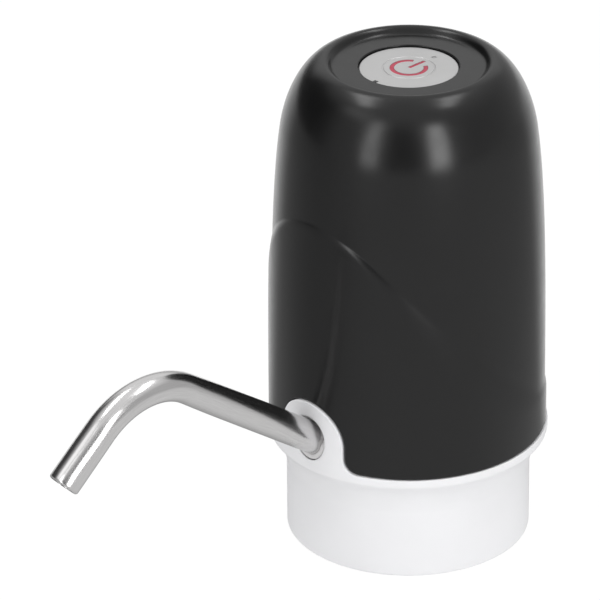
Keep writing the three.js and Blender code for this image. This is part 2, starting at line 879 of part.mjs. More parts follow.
// Button with its skirt, retaining flange, key notch and icon openings
function iconOutlines(grow) {
  const half = iconStroke / 2 + grow;
  const mid = iconRadius - iconStroke / 2;
  const start = iconOpening / 2 - grow / mid;
  const arc = new THREE.Shape();
  arc.absarc(0, 0, mid + half, start, 2 * Math.PI - start, false);
  arc.absarc(0, 0, mid - half, 2 * Math.PI - start, start, true);
  const bar = new THREE.Shape();
  const far = iconBarInner + iconBarLength + grow;
  const near = iconBarInner - grow;
  bar.moveTo(near, -half);
  bar.lineTo(far, -half);
  bar.lineTo(far, half);
  bar.lineTo(near, half);
  return [arc, bar];
}

function buttonCap() {
  const body = turned([
    [0, buttonUnderside],
    [buttonRadius - skirtWall, buttonUnderside],
    [buttonRadius - skirtWall, skirtFoot],
    [buttonRadius, skirtFoot],
    [buttonRadius, flangeTop - flangeThickness],
    [buttonRadius + flangeReach, flangeTop - flangeThickness],
    [buttonRadius + flangeReach, flangeTop],
    [buttonRadius, flangeTop],
    [buttonRadius, buttonTop - pinGap],
    [buttonRadius - pinGap, buttonTop],
    [grooveOuter, buttonTop],
    [grooveOuter - grooveDepth, buttonTop - grooveDepth],
    [grooveInner + grooveDepth, buttonTop - grooveDepth],
    [grooveInner, buttonTop],
    [0, buttonTop],
  ], largeSides);
  let cap = solidOf(body);
  iconOutlines(pinGap).forEach((outline) => {
    const slot = plate(outline, buttonUnderside - overrun, buttonTop + overrun, 2 * curveSteps);
    cap = cap.subtract(solidOf(slot));
  });
  const halfKey = keyWidth / 2;
  const key = block(
    -buttonRadius - overrun, keyDepth - buttonRadius, -halfKey, halfKey, flangeTop, buttonTop + overrun,
  );
  const pin = rod(indicatorRadius + pinGap, buttonUnderside - overrun, buttonTop + overrun, tinySides);
  return cap.subtract(solidOf(key)).subtract(solidOf(pin.translate(indicatorPlace, 0, 0)));
}

function addButton() {
  add('button_cap', buttonCap(), silver);
  let guide = solidOf(rod(lightBaseRadius, lightBaseFoot, lightBaseTop, mediumSides));
  iconOutlines(0).forEach((outline) => {
    guide = guide.add(solidOf(plate(outline, lightBaseTop - pinGap, buttonTop, 2 * curveSteps)));
  });
  add('icon_light_guide', guide, redLight);
  const lens = joined(
    rod(indicatorRadius, lightBaseTop - pinGap, buttonTop, tinySides),
    rod(indicatorFlange, lightBaseFoot, lightBaseTop, tinySides),
  );
  add('indicator_lens', lens, paleLens, groupAt(indicatorPlace, 0));
}

function springStations() {
  const foot = buttonBoardTop + fitGap + springWire;
  const top = buttonUnderside - fitGap - springWire;
  const steps = springTurns * springStepsPerTurn;
  const climb = (top - foot) / (springTurns * 2 * Math.PI * springPlace);
  return Array.from({ length: steps + 1 }, (_, i) => {
    const angle = (2 * Math.PI * i) / springStepsPerTurn;
    const [x, y] = polar(springPlace, angle);
    const tangent = new THREE.Vector3(-Math.sin(angle), Math.cos(angle), climb).normalize();
    return { point: new THREE.Vector3(x, y, THREE.MathUtils.lerp(foot, top, i / steps)), tangent };
  });
}

// One tube along the stations, its section kept upright, so a coil does not twist
function coil(stations, radius, sides) {
  const positions = [];
  const up = new THREE.Vector3(0, 0, 1);
  stations.forEach(({ point, tangent }) => {
    const side = new THREE.Vector3().crossVectors(up, tangent).normalize();
    const rise = new THREE.Vector3().crossVectors(tangent, side);
    evenAngles(sides).forEach((angle) => {
      const [u, v] = polar(radius, angle);
      const corner = point.clone().addScaledVector(side, u).addScaledVector(rise, v);
      positions.push(corner.x, corner.y, corner.z);
    });
  });
  const faces = [];
  for (let i = 0; i < stations.length - 1; i += 1) {
    for (let j = 0; j < sides; j += 1) {
      const [a, b] = [i * sides + j, i * sides + ((j + 1) % sides)];
      faces.push(a, b, b + sides, a, b + sides, a + sides);
    }
  }
  const last = (stations.length - 1) * sides;
  for (let j = 1; j < sides - 1; j += 1) {
    faces.push(0, j + 1, j);
    faces.push(last, last + j, last + j + 1);
  }
  const geometry = new THREE.BufferGeometry();
  geometry.setAttribute('position', new THREE.Float32BufferAttribute(positions, 3));
  geometry.setIndex(faces);
  return geometry;
}

function addButtonBoard() {
  let board = solidOf(rod(buttonBoardRadius, buttonBoardFoot, buttonBoardTop, mediumSides));
  evenAngles(boardPostCount, boardPostTurn).forEach((angle, i) => {
    const [x, y] = polar(boardPostPlace, angle);
    const hole = rod(smallHole, buttonBoardFoot - overrun, buttonBoardTop + overrun, tinySides);
    board = board.subtract(solidOf(hole.translate(x, y, 0)));
    const place = groupAt(x, y, buttonBoardFoot);
    add(`board_screw_${i + 1}`, screw(smallScrew, boardScrewLength), motorSteel, place);
  });
  add('button_board', board, boardGreen);
  const half = switchSide / 2;
  const housing = solidOf(block(-half, half, -half, half, buttonBoardTop, switchTop));
  const well = rod(switchCavity, buttonBoardTop + switchFloor, switchTop + overrun);
  add('switch_body', housing.subtract(solidOf(well)), blackPlastic);
  add('switch_plunger', solidOf(rod(plungerRadius, plungerFoot, plungerTop, tinySides)), greyPlastic);
  const halfLamp = lampSide / 2;
  const lamp = block(-halfLamp, halfLamp, -halfLamp, halfLamp, buttonBoardTop, buttonBoardTop + lampHeight);
  add('icon_lamp', solidOf(lamp), paleLens, groupAt(0, lampPlace));
  add('button_spring', solidOf(coil(springStations(), springWire, springSides)), steel);
}

// Control board with its chip, charging socket and screws
function addControlBoard() {
  const face = controlBoardPlace;
  const back = face + boardThickness;
  const half = controlBoardWidth / 2;
  let board = solidOf(block(face, back, -half, half, controlBoardFoot, controlBoardTop));
  [-1, 1].forEach((side, i) => {
    const hole = rod(smallHole, face - overrun, back + overrun, tinySides).rotateY(Math.PI / 2);
    board = board.subtract(solidOf(hole.translate(0, side * controlBossSpread, controlBossHeight)));
    const place = groupAt(face, side * controlBossSpread, controlBossHeight);
    place.rotation.y = Math.PI / 2;
    add(`control_screw_${i + 1}`, screw(smallScrew, boardScrewLength), motorSteel, place);
  });
  add('control_board', board, boardGreen);
  const halfPort = portWidth / 2;
  const portFront = shellBore + pinGap;
  const port = solidOf(block(
    back, portFront, -halfPort, halfPort,
    portPlace - portHeight / 2, portPlace + portHeight / 2,
  ));
  const socket = block(
    (back + portFront) / 2, portFront + overrun, portWall - halfPort, halfPort - portWall,
    portPlace - portHeight / 2 + portWall, portPlace + portHeight / 2 - portWall,
  );
  add('charging_port', port.subtract(solidOf(socket)), motorSteel);
  const halfChip = chipSide / 2;
  const chip = block(face - chipHeight, face, -halfChip, halfChip, chipPlace, chipPlace + chipSide);
  add('control_chip', solidOf(chip), blackPlastic);
}

// Battery cell, its holder and its two contacts
function holderOutline() {
  const outline = new THREE.Shape();
  outline.absarc(0, 0, holderRadius, 0, 2 * Math.PI, false);
  return outline;
}

function batteryHolder() {
  const wall = ring(cellRadius + holderGap, holderRadius, holderFoot, holderTop, mediumSides);
  const far = holderRadius + overrun;
  const openSide = block(-far, 0, -far, far, 0, crestHeight);
  let holder = solidOf(wall).subtract(solidOf(openSide));
  holder = holder.add(solidOf(plate(holderOutline(), holderFoot, holderFoot + holderPlate)));
  holder = holder.add(solidOf(plate(holderOutline(), holderTop - holderPlate, holderTop)));
  for (const side of [-1, 1]) {
    const far = side * tabPlace;
    const [near, end] = [Math.min(0, far), Math.max(0, far)];
    const bar = block(-tabRadius, tabRadius, near, end, holderFoot, holderFoot + holderPlate);
    const eye = rod(tabRadius, holderFoot, holderFoot + holderPlate).translate(0, far, 0);
    const hole = rod(mediumHole, 0, crestHeight / 2, tinySides).translate(0, far, 0);
    holder = holder.add(joined(bar, eye)).subtract(solidOf(hole));
  }
  return holder;
}

function contactPlate(bottom) {
  const half = contactTongueWidth / 2;
  return joined(
    rod(contactRadius, bottom, bottom + contactThickness),
    block(-contactTongueReach, 0, -half, half, bottom, bottom + contactThickness),
  );
}

function addBattery() {
  const place = groupAt(batteryX, batteryY);
  place.rotation.z = batteryBearing;
  const shoulder = cellFoot + cellLength;
  const cell = turned([
    [0, cellFoot],
    [cellRadius, cellFoot],
    [cellRadius, shoulder],
    [cellNubRadius, shoulder],
    [cellNubRadius, cellTop],
    [0, cellTop],
  ], mediumSides);
  add('battery_cell', solidOf(cell), cellWrap, place);
  add('battery_holder', batteryHolder(), blackPlastic, place);
  add('battery_contact_lower', contactPlate(holderFoot + holderPlate + pinGap), brass, place);
  add('battery_contact_upper', contactPlate(cellTop + pinGap), brass, place);
  tabPlaces().forEach(([x, y], i) => {
    const screwPlace = groupAt(x, y, holderFoot + holderPlate);
    add(`holder_screw_${i + 1}`, screwDown(mediumScrew, holderScrewLength), motorSteel, screwPlace);
  });
}

// Gear pump
function gearOutline(turn) {
  const outline = new THREE.Shape();
  const flank = [
    [gearRootRadius, -toothRoot],
    [gearPitchRadius, -toothPitch],
    [gearTipRadius, -toothTip],
    [gearTipRadius, toothTip],
    [gearPitchRadius, toothPitch],
    [gearRootRadius, toothRoot],
  ];
  evenAngles(gearTeeth, turn).forEach((angle, tooth) => {
    flank.forEach(([radius, offset], i) => {
      const [x, y] = polar(radius, angle + offset);
      if (tooth === 0 && i === 0) outline.moveTo(x, y);
      else outline.lineTo(x, y);
    });
  });
  return outline;
}

function gear(turn, bore) {
  const foot = cavityFloor + pinGap;
  const blank = solidOf(plate(gearOutline(turn), foot, foot + gearHeight));
  return blank.subtract(solidOf(rod(bore, foot - overrun, foot + gearHeight + overrun)));
}

function pumpOutline() {
  const outline = new THREE.Shape();
  const [left, right] = [pumpX - pumpHalfWidth, pumpX + pumpHalfWidth];
  const quarter = Math.PI / 2;
  outline.absarc(right - pumpCorner, pumpFrontY + pumpCorner, pumpCorner, -quarter, 0, false);
  outline.absarc(right - pumpCorner, pumpBackY - pumpCorner, pumpCorner, 0, quarter, false);
  outline.absarc(left + pumpCorner, pumpBackY - pumpCorner, pumpCorner, quarter, 2 * quarter, false);
  outline.absarc(left + pumpCorner, pumpFrontY + pumpCorner, pumpCorner, 2 * quarter, 3 * quarter, false);
  return outline;
}

function pumpScrewPlaces() {
  const x = pumpHalfWidth - pumpScrewInset;
  return [
    [pumpX - x, pumpFrontY + pumpScrewInset],
    [pumpX + x, pumpFrontY + pumpScrewInset],
    [pumpX - x, pumpBackY - pumpScrewInset],
    [pumpX + x, pumpBackY - pumpScrewInset],
  ];
}

function earSolid(x, y) {
  const eye = rod(earRadius, pumpFoot, pumpFoot + earHeight).translate(x, y, 0);
  const [left, right] = [Math.min(x, pumpX), Math.max(x, pumpX)];
  const arm = block(left, right, y - earRadius, y + earRadius, pumpFoot, pumpFoot + earHeight);
  return joined(eye, arm);
}

function pumpBody() {
  const ears = earSolid(leftEarX, leftEarY).add(earSolid(rightEarX, rightEarY));
  let body = solidOf(plate(pumpOutline(), pumpFoot, pumpTop, cornerSegments)).add(ears);
  const inletX = pumpX + inletOffset();
  const nipple = rod(inletRadius, -inletLength, cavityFloor).translate(inletX, meshY, 0);
  const left = pumpX - pumpHalfWidth;
  const barb = rod(barbRadius, left - barbLength, pumpX - cavityRadius, smallSides);
  barb.rotateY(Math.PI / 2).translate(0, meshY, outletHeight);
  body = body.add(solidOf(nipple)).add(solidOf(barb));
  const cavities = [driveY, idlerY].map((y) => {
    return rod(cavityRadius, cavityFloor, pumpTop + overrun, mediumSides).translate(pumpX, y, 0);
  });
  body = body.subtract(joined(...cavities));
  const inlet = rod(inletBore, -inletLength - overrun, outletHeight, tinySides).translate(inletX, meshY, 0);
  const outlet = rod(outletBore, left - barbLength - overrun, pumpX - gearRootRadius, tinySides);
  body = body.subtract(solidOf(inlet));
  body = body.subtract(solidOf(outlet.rotateY(Math.PI / 2).translate(0, meshY, outletHeight)));
  const holes = [[leftEarX, leftEarY], [rightEarX, rightEarY]].map(([x, y]) => {
    return rod(mediumHole, 0, pumpTop, tinySides).translate(x, y, 0);
  });
  pumpScrewPlaces().forEach(([x, y]) => {
    holes.push(rod(smallHole, 0, pumpTop + overrun, tinySides).translate(x, y, 0));
    holes.push(rod(smallScrew.head + pinGap, 0, pumpFoot + smallScrew.cap, tinySides).translate(x, y, 0));
  });
  const pinSeat = rod(idlerPinRadius + pinGap, cavityFloor - idlerPinSeat, pumpTop, tinySides);
  holes.push(pinSeat.translate(pumpX, idlerY, 0));
  return body.subtract(joined(...holes));
}

function pumpCover() {
  const flange = solidOf(plate(pumpOutline(), pumpTop, coverTop, cornerSegments));
  const round = rod(coverRound, pumpTop, coverTop, largeSides).translate(pumpX, driveY, 0);
  const holes = [
    rod(bearingRadius + pinGap, pumpTop - overrun, coverTop + overrun).translate(pumpX, driveY, 0),
    rod(idlerPinRadius + pinGap, pumpTop - overrun, pumpTop + idlerPinSeat, tinySides)
      .translate(pumpX, idlerY, 0),
  ];
  pumpScrewPlaces().forEach(([x, y]) => {
    const top = pumpFoot + smallScrew.cap + pumpScrewLength + pinGap;
    holes.push(rod(smallHole, pumpTop - overrun, top, tinySides).translate(x, y, 0));
  });
  for (const side of [-1, 1]) {
    const x = pumpX + side * motorScrewPlace;
    const sinkTop = pumpTop + smallScrew.cap + pinGap;
    const sink = rod(smallScrew.head + pinGap, pumpTop - overrun, sinkTop, tinySides);
    const hole = rod(smallHole, pumpTop, coverTop + overrun, tinySides);
    holes.push(sink.translate(x, driveY, 0), hole.translate(x, driveY, 0));
  }
  return flange.add(solidOf(round)).subtract(joined(...holes));
}

function addPump() {
  add('pump_body', pumpBody(), whitePlastic);
  add('pump_cover', pumpCover(), whitePlastic);
  const halfTooth = Math.PI / gearTeeth;
  const drive = groupAt(pumpX, driveY);
  const idler = groupAt(pumpX, idlerY);
  add('drive_gear', gear(0, shaftRadius + pinGap), whitePlastic, drive);
  add('idler_gear', gear(halfTooth, idlerPinRadius + fitGap), whitePlastic, idler);
  const pinFoot = cavityFloor - idlerPinSeat + pinGap;
  const pin = rod(idlerPinRadius, pinFoot, pumpTop + idlerPinSeat - pinGap, tinySides);
  add('idler_pin', solidOf(pin), steel, idler);
  pumpScrewPlaces().forEach(([x, y], i) => {
    const place = groupAt(x, y, pumpFoot + smallScrew.cap);
    add(`pump_screw_${i + 1}`, screw(smallScrew, pumpScrewLength), motorSteel, place);
  });
  [[leftEarX, leftEarY], [rightEarX, rightEarY]].forEach(([x, y], i) => {
    const place = groupAt(x, y, pumpFoot + earHeight);
    add(`pump_mount_screw_${i + 1}`, screwDown(mediumScrew, mountScrewLength), motorSteel, place);
  });
  const sleeve = inletRadius + fitGap;
  const grommet = turned([
    [sleeve, 0],
    [sleeve + grommetWall, 0],
    [sleeve + grommetWall, deckThickness],
    [sleeve + grommetFlange, deckThickness],
    [sleeve + grommetFlange, pumpFoot],
    [sleeve, pumpFoot],
  ]);
  add('inlet_grommet', solidOf(grommet), paleRubber, groupAt(pumpX + inletOffset(), meshY));
}

// Motor
function armature() {
  const start = coverTop + armatureStart;
  const end = start + armatureLength;
  let body = solidOf(rod(armatureHub, start, end, mediumSides));
  const shoeInner = armatureRadius - poleShoeThickness;
  evenAngles(armaturePoles).forEach((angle) => {
    const half = poleNeckWidth / 2;
    const neck = block(0, shoeInner + poleShoeThickness / 2, -half, half, start, end).rotateZ(angle);
    const shoe = new THREE.Shape();
    const sweep = poleShoeSweep / 2;
    shoe.absarc(0, 0, armatureRadius, angle - sweep, angle + sweep, false);
    shoe.absarc(0, 0, shoeInner, angle + sweep, angle - sweep, true);
    body = body.add(solidOf(neck)).add(solidOf(plate(shoe, start, end, cornerSegments)));
  });
  return body.subtract(solidOf(rod(shaftRadius + pinGap, start - overrun, end + overrun, tinySides)));
}

function addMotor() {
  const axis = groupAt(pumpX, driveY);
  const bore = canRadius - canWall;
  let can = solidOf(turned([
    [bearingRadius + pinGap, coverTop],
    [canRadius, coverTop],
    [canRadius, canTop],
    [bore, canTop],
    [bore, coverTop + canFront],
    [bearingRadius + pinGap, coverTop + canFront],
  ], mediumSides));
  for (const side of [-1, 1]) {
    const hole = rod(smallHole, coverTop - overrun, coverTop + canFront + overrun, tinySides);
    can = can.subtract(solidOf(hole.translate(side * motorScrewPlace, 0, 0)));
  }
  add('motor_can', can, motorSteel, axis);
  const cap = turned([
    [shaftRadius + fitGap, canTop],
    [endcapBore, canTop],
    [endcapBore, canTop - endcapPlug],
    [bore - fitGap, canTop - endcapPlug],
    [bore - fitGap, canTop],
    [canRadius, canTop],
    [canRadius, motorTop],
    [shaftRadius + fitGap, motorTop],
  ], mediumSides);
  const lugs = [-1, 1].map((side) => {
    const x = side * lugPlace;
    const half = lugWidth / 2;
    return block(x, x + lugThickness, -half, half, motorTop - lugThickness, motorTop + lugHeight);
  });
  add('motor_endcap', joined(cap, ...lugs), blackPlastic, axis);
  const bearingTop = coverTop + canFront;
  const bearingFoot = bearingTop - bearingLength;
  const bearing = ring(shaftRadius + fitGap, bearingRadius, bearingFoot, bearingTop);
  add('motor_bearing', solidOf(bearing), brass, axis);
  const sealTop = bearingFoot - pinGap;
  const seal = ring(shaftRadius + fitGap, bearingRadius, sealTop - shaftSealLength, sealTop);
  add('shaft_seal', solidOf(seal), blackRubber, axis);
  add('motor_shaft', solidOf(rod(shaftRadius, cavityFloor + pinGap, motorTop, tinySides)), steel, axis);
  add('motor_armature', armature(), copper, axis);
  [-1, 1].forEach((side, i) => {
    const place = groupAt(pumpX + side * motorScrewPlace, driveY, pumpTop + smallScrew.cap + pinGap);
    add(`motor_screw_${i + 1}`, screw(smallScrew, motorScrewLength), motorSteel, place);
  });
}

// Elbow from the socket to an upright barb, and the hose that joins it to the pump
function elbowJoint() {
  return new THREE.Vector3(0, 0, -elbowReach).applyMatrix4(spoutMatrix);
}

function addOutlet() {
  const stubFoot = -elbowReach;
  const stub = alongSpout(rod(barbRadius, stubFoot, fitGap - socketDepth, smallSides));
  const joint = elbowJoint();
  const riserX = joint.x + elbowRun;
  const level = joint.z;
  const run = rod(barbRadius, joint.x, riserX, smallSides);
  run.rotateY(Math.PI / 2).translate(0, 0, level);
  const rise = rod(barbRadius, level - barbRadius, elbowTop, smallSides).translate(riserX, 0, 0);
  const ball = new THREE.SphereGeometry(barbRadius, smallSides, smallSides / 2);
  const corner = solidOf(ball.translate(joint.x, 0, level));
  const stubBore = alongSpout(rod(outletBore, stubFoot, overrun, tinySides));
  const runBore = rod(outletBore, joint.x, riserX, tinySides);
  runBore.rotateY(Math.PI / 2).translate(0, 0, level);
  const riseBore = rod(outletBore, level, elbowTop + overrun, tinySides).translate(riserX, 0, 0);
  const elbow = joined(stub, run, rise).add(corner).subtract(joined(stubBore, runBore, riseBore));
  add('outlet_elbow', elbow, whitePlastic);
  add('outlet_hose', outletHose(), clearHose);
}

function outletHose() {
  const pumpSide = pumpX - pumpHalfWidth - fitGap;
  const start = new THREE.Vector3(pumpSide, meshY, outletHeight);
  const free = new THREE.Vector3(pumpSide - hoseStraight, meshY, outletHeight);
  const landing = new THREE.Vector3(elbowJoint().x + elbowRun, 0, elbowTop);
  const end = landing.clone().setZ(elbowTop - hoseGrip);
  const loop = new THREE.CubicBezierCurve3(
    free,
    free.clone().setX(free.x - hosePullOut),
    landing.clone().setZ(landing.z + hoseLoopPull),
    landing,
  );
  const stations = [
    { point: start, tangent: new THREE.Vector3(-1, 0, 0) },
    ...stationsAlong(loop, hoseSteps),
    { point: end, tangent: new THREE.Vector3(0, 0, -1) },
  ];
  return solidOf(swept(discOutline(hoseRadius, hoseBore), stations, hoseSegments));
}

// Leads from the battery and the motor to the control board, and the flat lead up to the button
function lead(name, points, material) {
  const curve = new THREE.CatmullRomCurve3(points);
  const outline = new THREE.Shape(evenAngles(leadSides).map((angle) => {
    return new THREE.Vector2(...polar(leadRadius, angle));
  }));
  add(name, solidOf(swept(outline, stationsAlong(curve, leadSteps))), material);
}

function contactEnd(height) {
  const [dx, dy] = polar(contactTongueReach + leadRadius + fitGap, batteryBearing + Math.PI);
  return new THREE.Vector3(batteryX + dx, batteryY + dy, height);
}

// The last two points of a lead that meets the control board square on
function boardLanding(y, z) {
  const face = controlBoardPlace - fitGap;
  return [new THREE.Vector3(face - leadApproach, y, z), new THREE.Vector3(face, y, z)];
}

function addLeads() {
  const lugGap = leadRadius + fitGap;
  const lugLevel = motorTop + lugHeight / 2;
  const span = controlBoardPlace - pumpX;
  const middleX = controlBoardPlace - span / 3;
  lead('battery_lead_plus', [
    contactEnd(cellTop + pinGap),
    new THREE.Vector3(pumpX, batteryY - holderRadius - span / 5, cellTop - span / 4),
    new THREE.Vector3(middleX, batteryY - holderRadius - span / 4, controlBoardTop),
    ...boardLanding(controlBoardWidth / 5, controlBoardTop - controlBoardHeight / 9),
  ], redLeadPlastic);
  lead('battery_lead_minus', [
    contactEnd(holderFoot + holderPlate + pinGap),
    new THREE.Vector3(pumpX, pumpBackY + lugGap + pinGap, coverTop - coverThickness / 2),
    new THREE.Vector3(middleX, pumpBackY + span / 5, controlBoardFoot),
    ...boardLanding(controlBoardWidth / 4, controlBoardFoot + controlBoardHeight / 3),
  ], blackLeadPlastic);
  lead('motor_lead_plus', [
    new THREE.Vector3(pumpX + lugPlace + lugThickness + lugGap, driveY, lugLevel),
    new THREE.Vector3(pumpX + lugPlace + span / 4, driveY + span / 4, lugLevel + span / 5),
    ...boardLanding(-controlBoardWidth / 6, controlBoardTop - controlBoardHeight / 5),
  ], redLeadPlastic);
  lead('motor_lead_minus', [
    new THREE.Vector3(pumpX - lugPlace + lugThickness + lugGap, driveY, lugLevel),
    new THREE.Vector3(pumpX, driveY + span / 4, motorTop + lugHeight),
    new THREE.Vector3(pumpX + span / 2, driveY + span / 2, motorTop + lugHeight + span / 8),
    ...boardLanding(-controlBoardWidth / 16, controlBoardTop - controlBoardHeight / 6),
  ], blackLeadPlastic);
}

function buttonRibbon() {
  const middle = controlBoardPlace + boardThickness / 2;
  const path = new THREE.CubicBezierCurve3(
    new THREE.Vector3(middle, 0, controlBoardTop + fitGap),
    new THREE.Vector3(middle, 0, (controlBoardTop + buttonBoardFoot) / 2),
    new THREE.Vector3(ribbonPlace, 0, (controlBoardTop + buttonBoardFoot) / 2),
    new THREE.Vector3(ribbonPlace, 0, buttonBoardFoot - fitGap),
  );
  const half = ribbonWidth / 2;
  const thin = ribbonThickness / 2;
  const outline = new THREE.Shape([
    new THREE.Vector2(-thin, -half),
    new THREE.Vector2(thin, -half),
    new THREE.Vector2(thin, half),
    new THREE.Vector2(-thin, half),
  ]);
  return solidOf(swept(outline, stationsAlong(path, leadSteps)));
}

add('base_collar', baseCollar(), whitePlastic);
add('top_housing', topHousing(), blackGloss);
addHousingScrews();
addSpout();
addButton();
addButtonBoard();
addControlBoard();
addBattery();
addPump();
addMotor();
addOutlet();
addLeads();
add('button_ribbon', buttonRibbon(), blackLeadPlastic);

export default pump;
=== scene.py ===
# Looks of the bottled water pump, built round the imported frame. Metres, +Z up, spout along -X.
import json
from bisect import bisect_right
from math import asin, atan2, cos, hypot, pi, radians, sin, sqrt, tan

import bmesh
import bpy
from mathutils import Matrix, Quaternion, Vector


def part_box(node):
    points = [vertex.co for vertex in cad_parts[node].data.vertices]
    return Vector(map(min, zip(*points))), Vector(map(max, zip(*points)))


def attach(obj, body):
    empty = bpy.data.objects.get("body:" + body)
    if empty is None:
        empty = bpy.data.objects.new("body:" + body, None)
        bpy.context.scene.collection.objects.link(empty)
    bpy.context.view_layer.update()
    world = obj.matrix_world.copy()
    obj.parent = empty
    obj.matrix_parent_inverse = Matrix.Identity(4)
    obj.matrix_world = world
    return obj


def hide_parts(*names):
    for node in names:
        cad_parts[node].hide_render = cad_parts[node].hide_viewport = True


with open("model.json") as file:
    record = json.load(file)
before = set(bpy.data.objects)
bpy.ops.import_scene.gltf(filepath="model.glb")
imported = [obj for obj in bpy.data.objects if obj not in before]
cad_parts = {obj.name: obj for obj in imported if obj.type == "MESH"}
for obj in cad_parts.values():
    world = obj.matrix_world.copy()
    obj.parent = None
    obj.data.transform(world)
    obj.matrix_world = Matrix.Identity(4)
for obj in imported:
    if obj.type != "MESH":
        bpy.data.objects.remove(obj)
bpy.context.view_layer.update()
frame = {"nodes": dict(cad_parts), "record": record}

# Sizes that the frame gives
base_low, base_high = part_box("base_collar")
port_low, port_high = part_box("charging_port")
cap_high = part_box("button_cap")[1]
floor_height = base_low.z
rim_radius = base_high.x
arch_top = base_high.z
crest_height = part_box("top_housing")[1].z
cap_settling = 0.0004
button_top = cap_high.z - cap_settling
flange_radius = cap_high.x

# Collar, deck, shoulder, rim and lip of the base
neck_radius = 0.028
collar_bore = 0.0304
collar_radius = 0.03274
foot_round = 0.0006
deck_thickness = 0.0024
deck_round = 0.0002
shoulder_foot = -0.007
shoulder_pull = (0.0334745, -0.000875)
shoulder_top = 0.0032
rim_top = 0.00555
rim_round = 0.00025
rim_blend = 0.0015
lip_radius = 0.03397
lip_inner = 0.03237
lip_top = 0.0095
rib_count = 12
rib_width = 0.0016
rib_foot = -0.024

# Arch round the spout, and the socket in it
arch_half_width = 0.01125
arch_springing = 0.0123
arch_foot_radius = 0.004
arch_thickness = 0.0025
arch_rise = arch_top - arch_springing
spout_height = 0.0132
spout_rise = radians(35)
socket_bore = 0.0056
socket_wall = 0.002
socket_depth = 0.0104
socket_back = 0.0016
outlet_radius = 0.00285
mouth_round = 0.0005
mouth_narrowing = 0.001

# Shell
shell_gap = 0.0002
shell_wall = 0.0021
shell_foot_radius = 0.03662
shell_hip_radius = 0.03402
shell_hip_height = 0.0898
crest_radius = 0.02143
plate_radius = 0.02005
plate_drop = 0.00165
plate_thickness = 0.0017
button_hole = 0.0133
hem_round = 0.00035
crest_round = 0.0016
plate_corner = 0.0013
hole_round = 0.00025
side_bulge_shares = ((0, 0.361), (0.017, 0.766))
crown_bulge_shares = ((0.095, 0.535), (0.535, 1))

# Raised panel and its ledge, by the angle from the spout
ledge_swings = (0.03786, 0.02888, 0.00843, -0.00052)
step_front = 0.00038
step_aside = 0.00088
step_back = 0.00042
step_rising = (radians(15), radians(48))
step_falling = (radians(75), radians(125))
ledge_band = 0.0024
ledge_softening = 0.0085
ledge_power = 2
ledge_soft_from = (radians(20), radians(52))
ledge_soft_until = (radians(85), radians(125))

# Charging mouth at the back
port_height = 0.028
port_half_width = 0.0048
port_half_height = 0.0024
port_corner = 0.0012
port_round = 0.0003

# Charging port behind the mouth: a rounded metal shell with a dark tongue
port_shell_half = (0.0038, 0.00135)
port_shell_corner = 0.0009
port_shell_wall = 0.0003
port_shell_floor = 0.0006
port_tongue_half = (0.0031, 0.00035)
port_tongue_front = 0.0006

# Spout tube
tube_radius = 0.00425
tube_flattening = 0.075
tube_wall = 0.0005
tube_lip = 0.0007
tube_reach = 0.05225
bend_radius = 0.02283
bend_angle = radians(79)
bend_aside = radians(4.5)
nozzle_length = 0.0166
tube_foot = -0.0101

# Button, symbol, dot and notch
button_radius = 0.01303
button_thickness = 0.00075
button_skirt_wall = 0.0012
button_skirt_depth = 0.0066
button_round = 0.0003
skirt_round = 0.0002
button_eye = 0.0002
flange_top = 0.1066
flange_thickness = 0.0011
groove_inner = 0.00655
groove_outer = 0.0071
groove_depth = 0.00015
groove_round = 0.0001
icon_radius = 0.005
icon_stroke = 0.0011
icon_opening = radians(60)
icon_bar_near = 0.0001
icon_bar_far = 0.0058
icon_bar_width = 0.0009
icon_gap = 0.00005
symbol_depth = 0.0006
symbol_sink = 0.00005
symbol_round = 0.00008
dot_place = (0.0093, 0)
dot_radius = 0.00062
dot_sink = 0.0003
dot_rise = 0.0002
dot_turns = (0, 0.4, 0.8, 1.2, 1.5)
key_width = 0.0014
key_depth = 0.0014
key_drop = 0.0036

# Bush and liner round the tube, in the spout's frame
bush_gap = 0.0003
bush_foot = -0.0085
bush_top = -0.0049
bush_radius = 0.0052
bush_inner_round = 0.00015
bush_outer_round = 0.00025
liner_gap = 0.00002
liner_inner = tube_radius + liner_gap
liner_outer = 0.00539
liner_inset = 0.0004
liner_top = -0.0015
liner_foot = -0.0042
liner_edge = 0.00015
liner_edge_share = 0.3

# Screws, spigot and grommet under the deck
post_radius = 0.027
post_count = 3
screw_head = 0.0023
screw_cap = 0.0016
screw_edge_inset = 0.0006
screw_edge_height = 0.0005
screw_dome_share = 0.24
screw_shank = 0.0013
screw_length = 0.011
screw_seat = 0.00225
screw_slot = 0.0006
screw_slot_depth = 0.0008
screw_sink = 0.0026
cut_overrun = 0.001
spigot_place = (0.0144, -0.01069)
spigot_radius = 0.00344
spigot_bore = 0.0024
spigot_foot = -0.014
spigot_top = 0.0045
spigot_rounds = (0.0002, 0.0005)
inlet_hole = 0.005
grommet_bore = 0.0037
grommet_neck = 0.0047
grommet_flange = 0.0057
grommet_top = 0.005
grommet_round = 0.0002

# Fineness of the meshes: gaps and distances in metres, steps and columns as counts
support_gap = 0.00015
merge_distance = 5e-7
column_step = radians(1.25)
corner_steps = 4
round_columns = 128
small_columns = 48
ring_columns = 96
tube_columns = 72
dot_columns = 32
side_steps = 200
arc_steps = 160
icon_steps = 96
rib_steps = 8
shoulder_steps = 16
collar_row_shares = (0.25, 0.5, 0.75)
straight_steps = 12
bend_steps = 48
nozzle_steps = 6
lip_steps = 5
bevel_steps = 2
face_sharpness = radians(38)
baked_sharpness = radians(30)
bevel_sharpness = radians(40)


# Finishes. Each one is a procedural material built from the same few nodes.
drift_scale = 60.0
gloss_scale = 220.0
noise_detail = 3.0
tint_shares = (0.35, 0.65)
spread_shares = (0.3, 0.7)
run_per_metre = 40

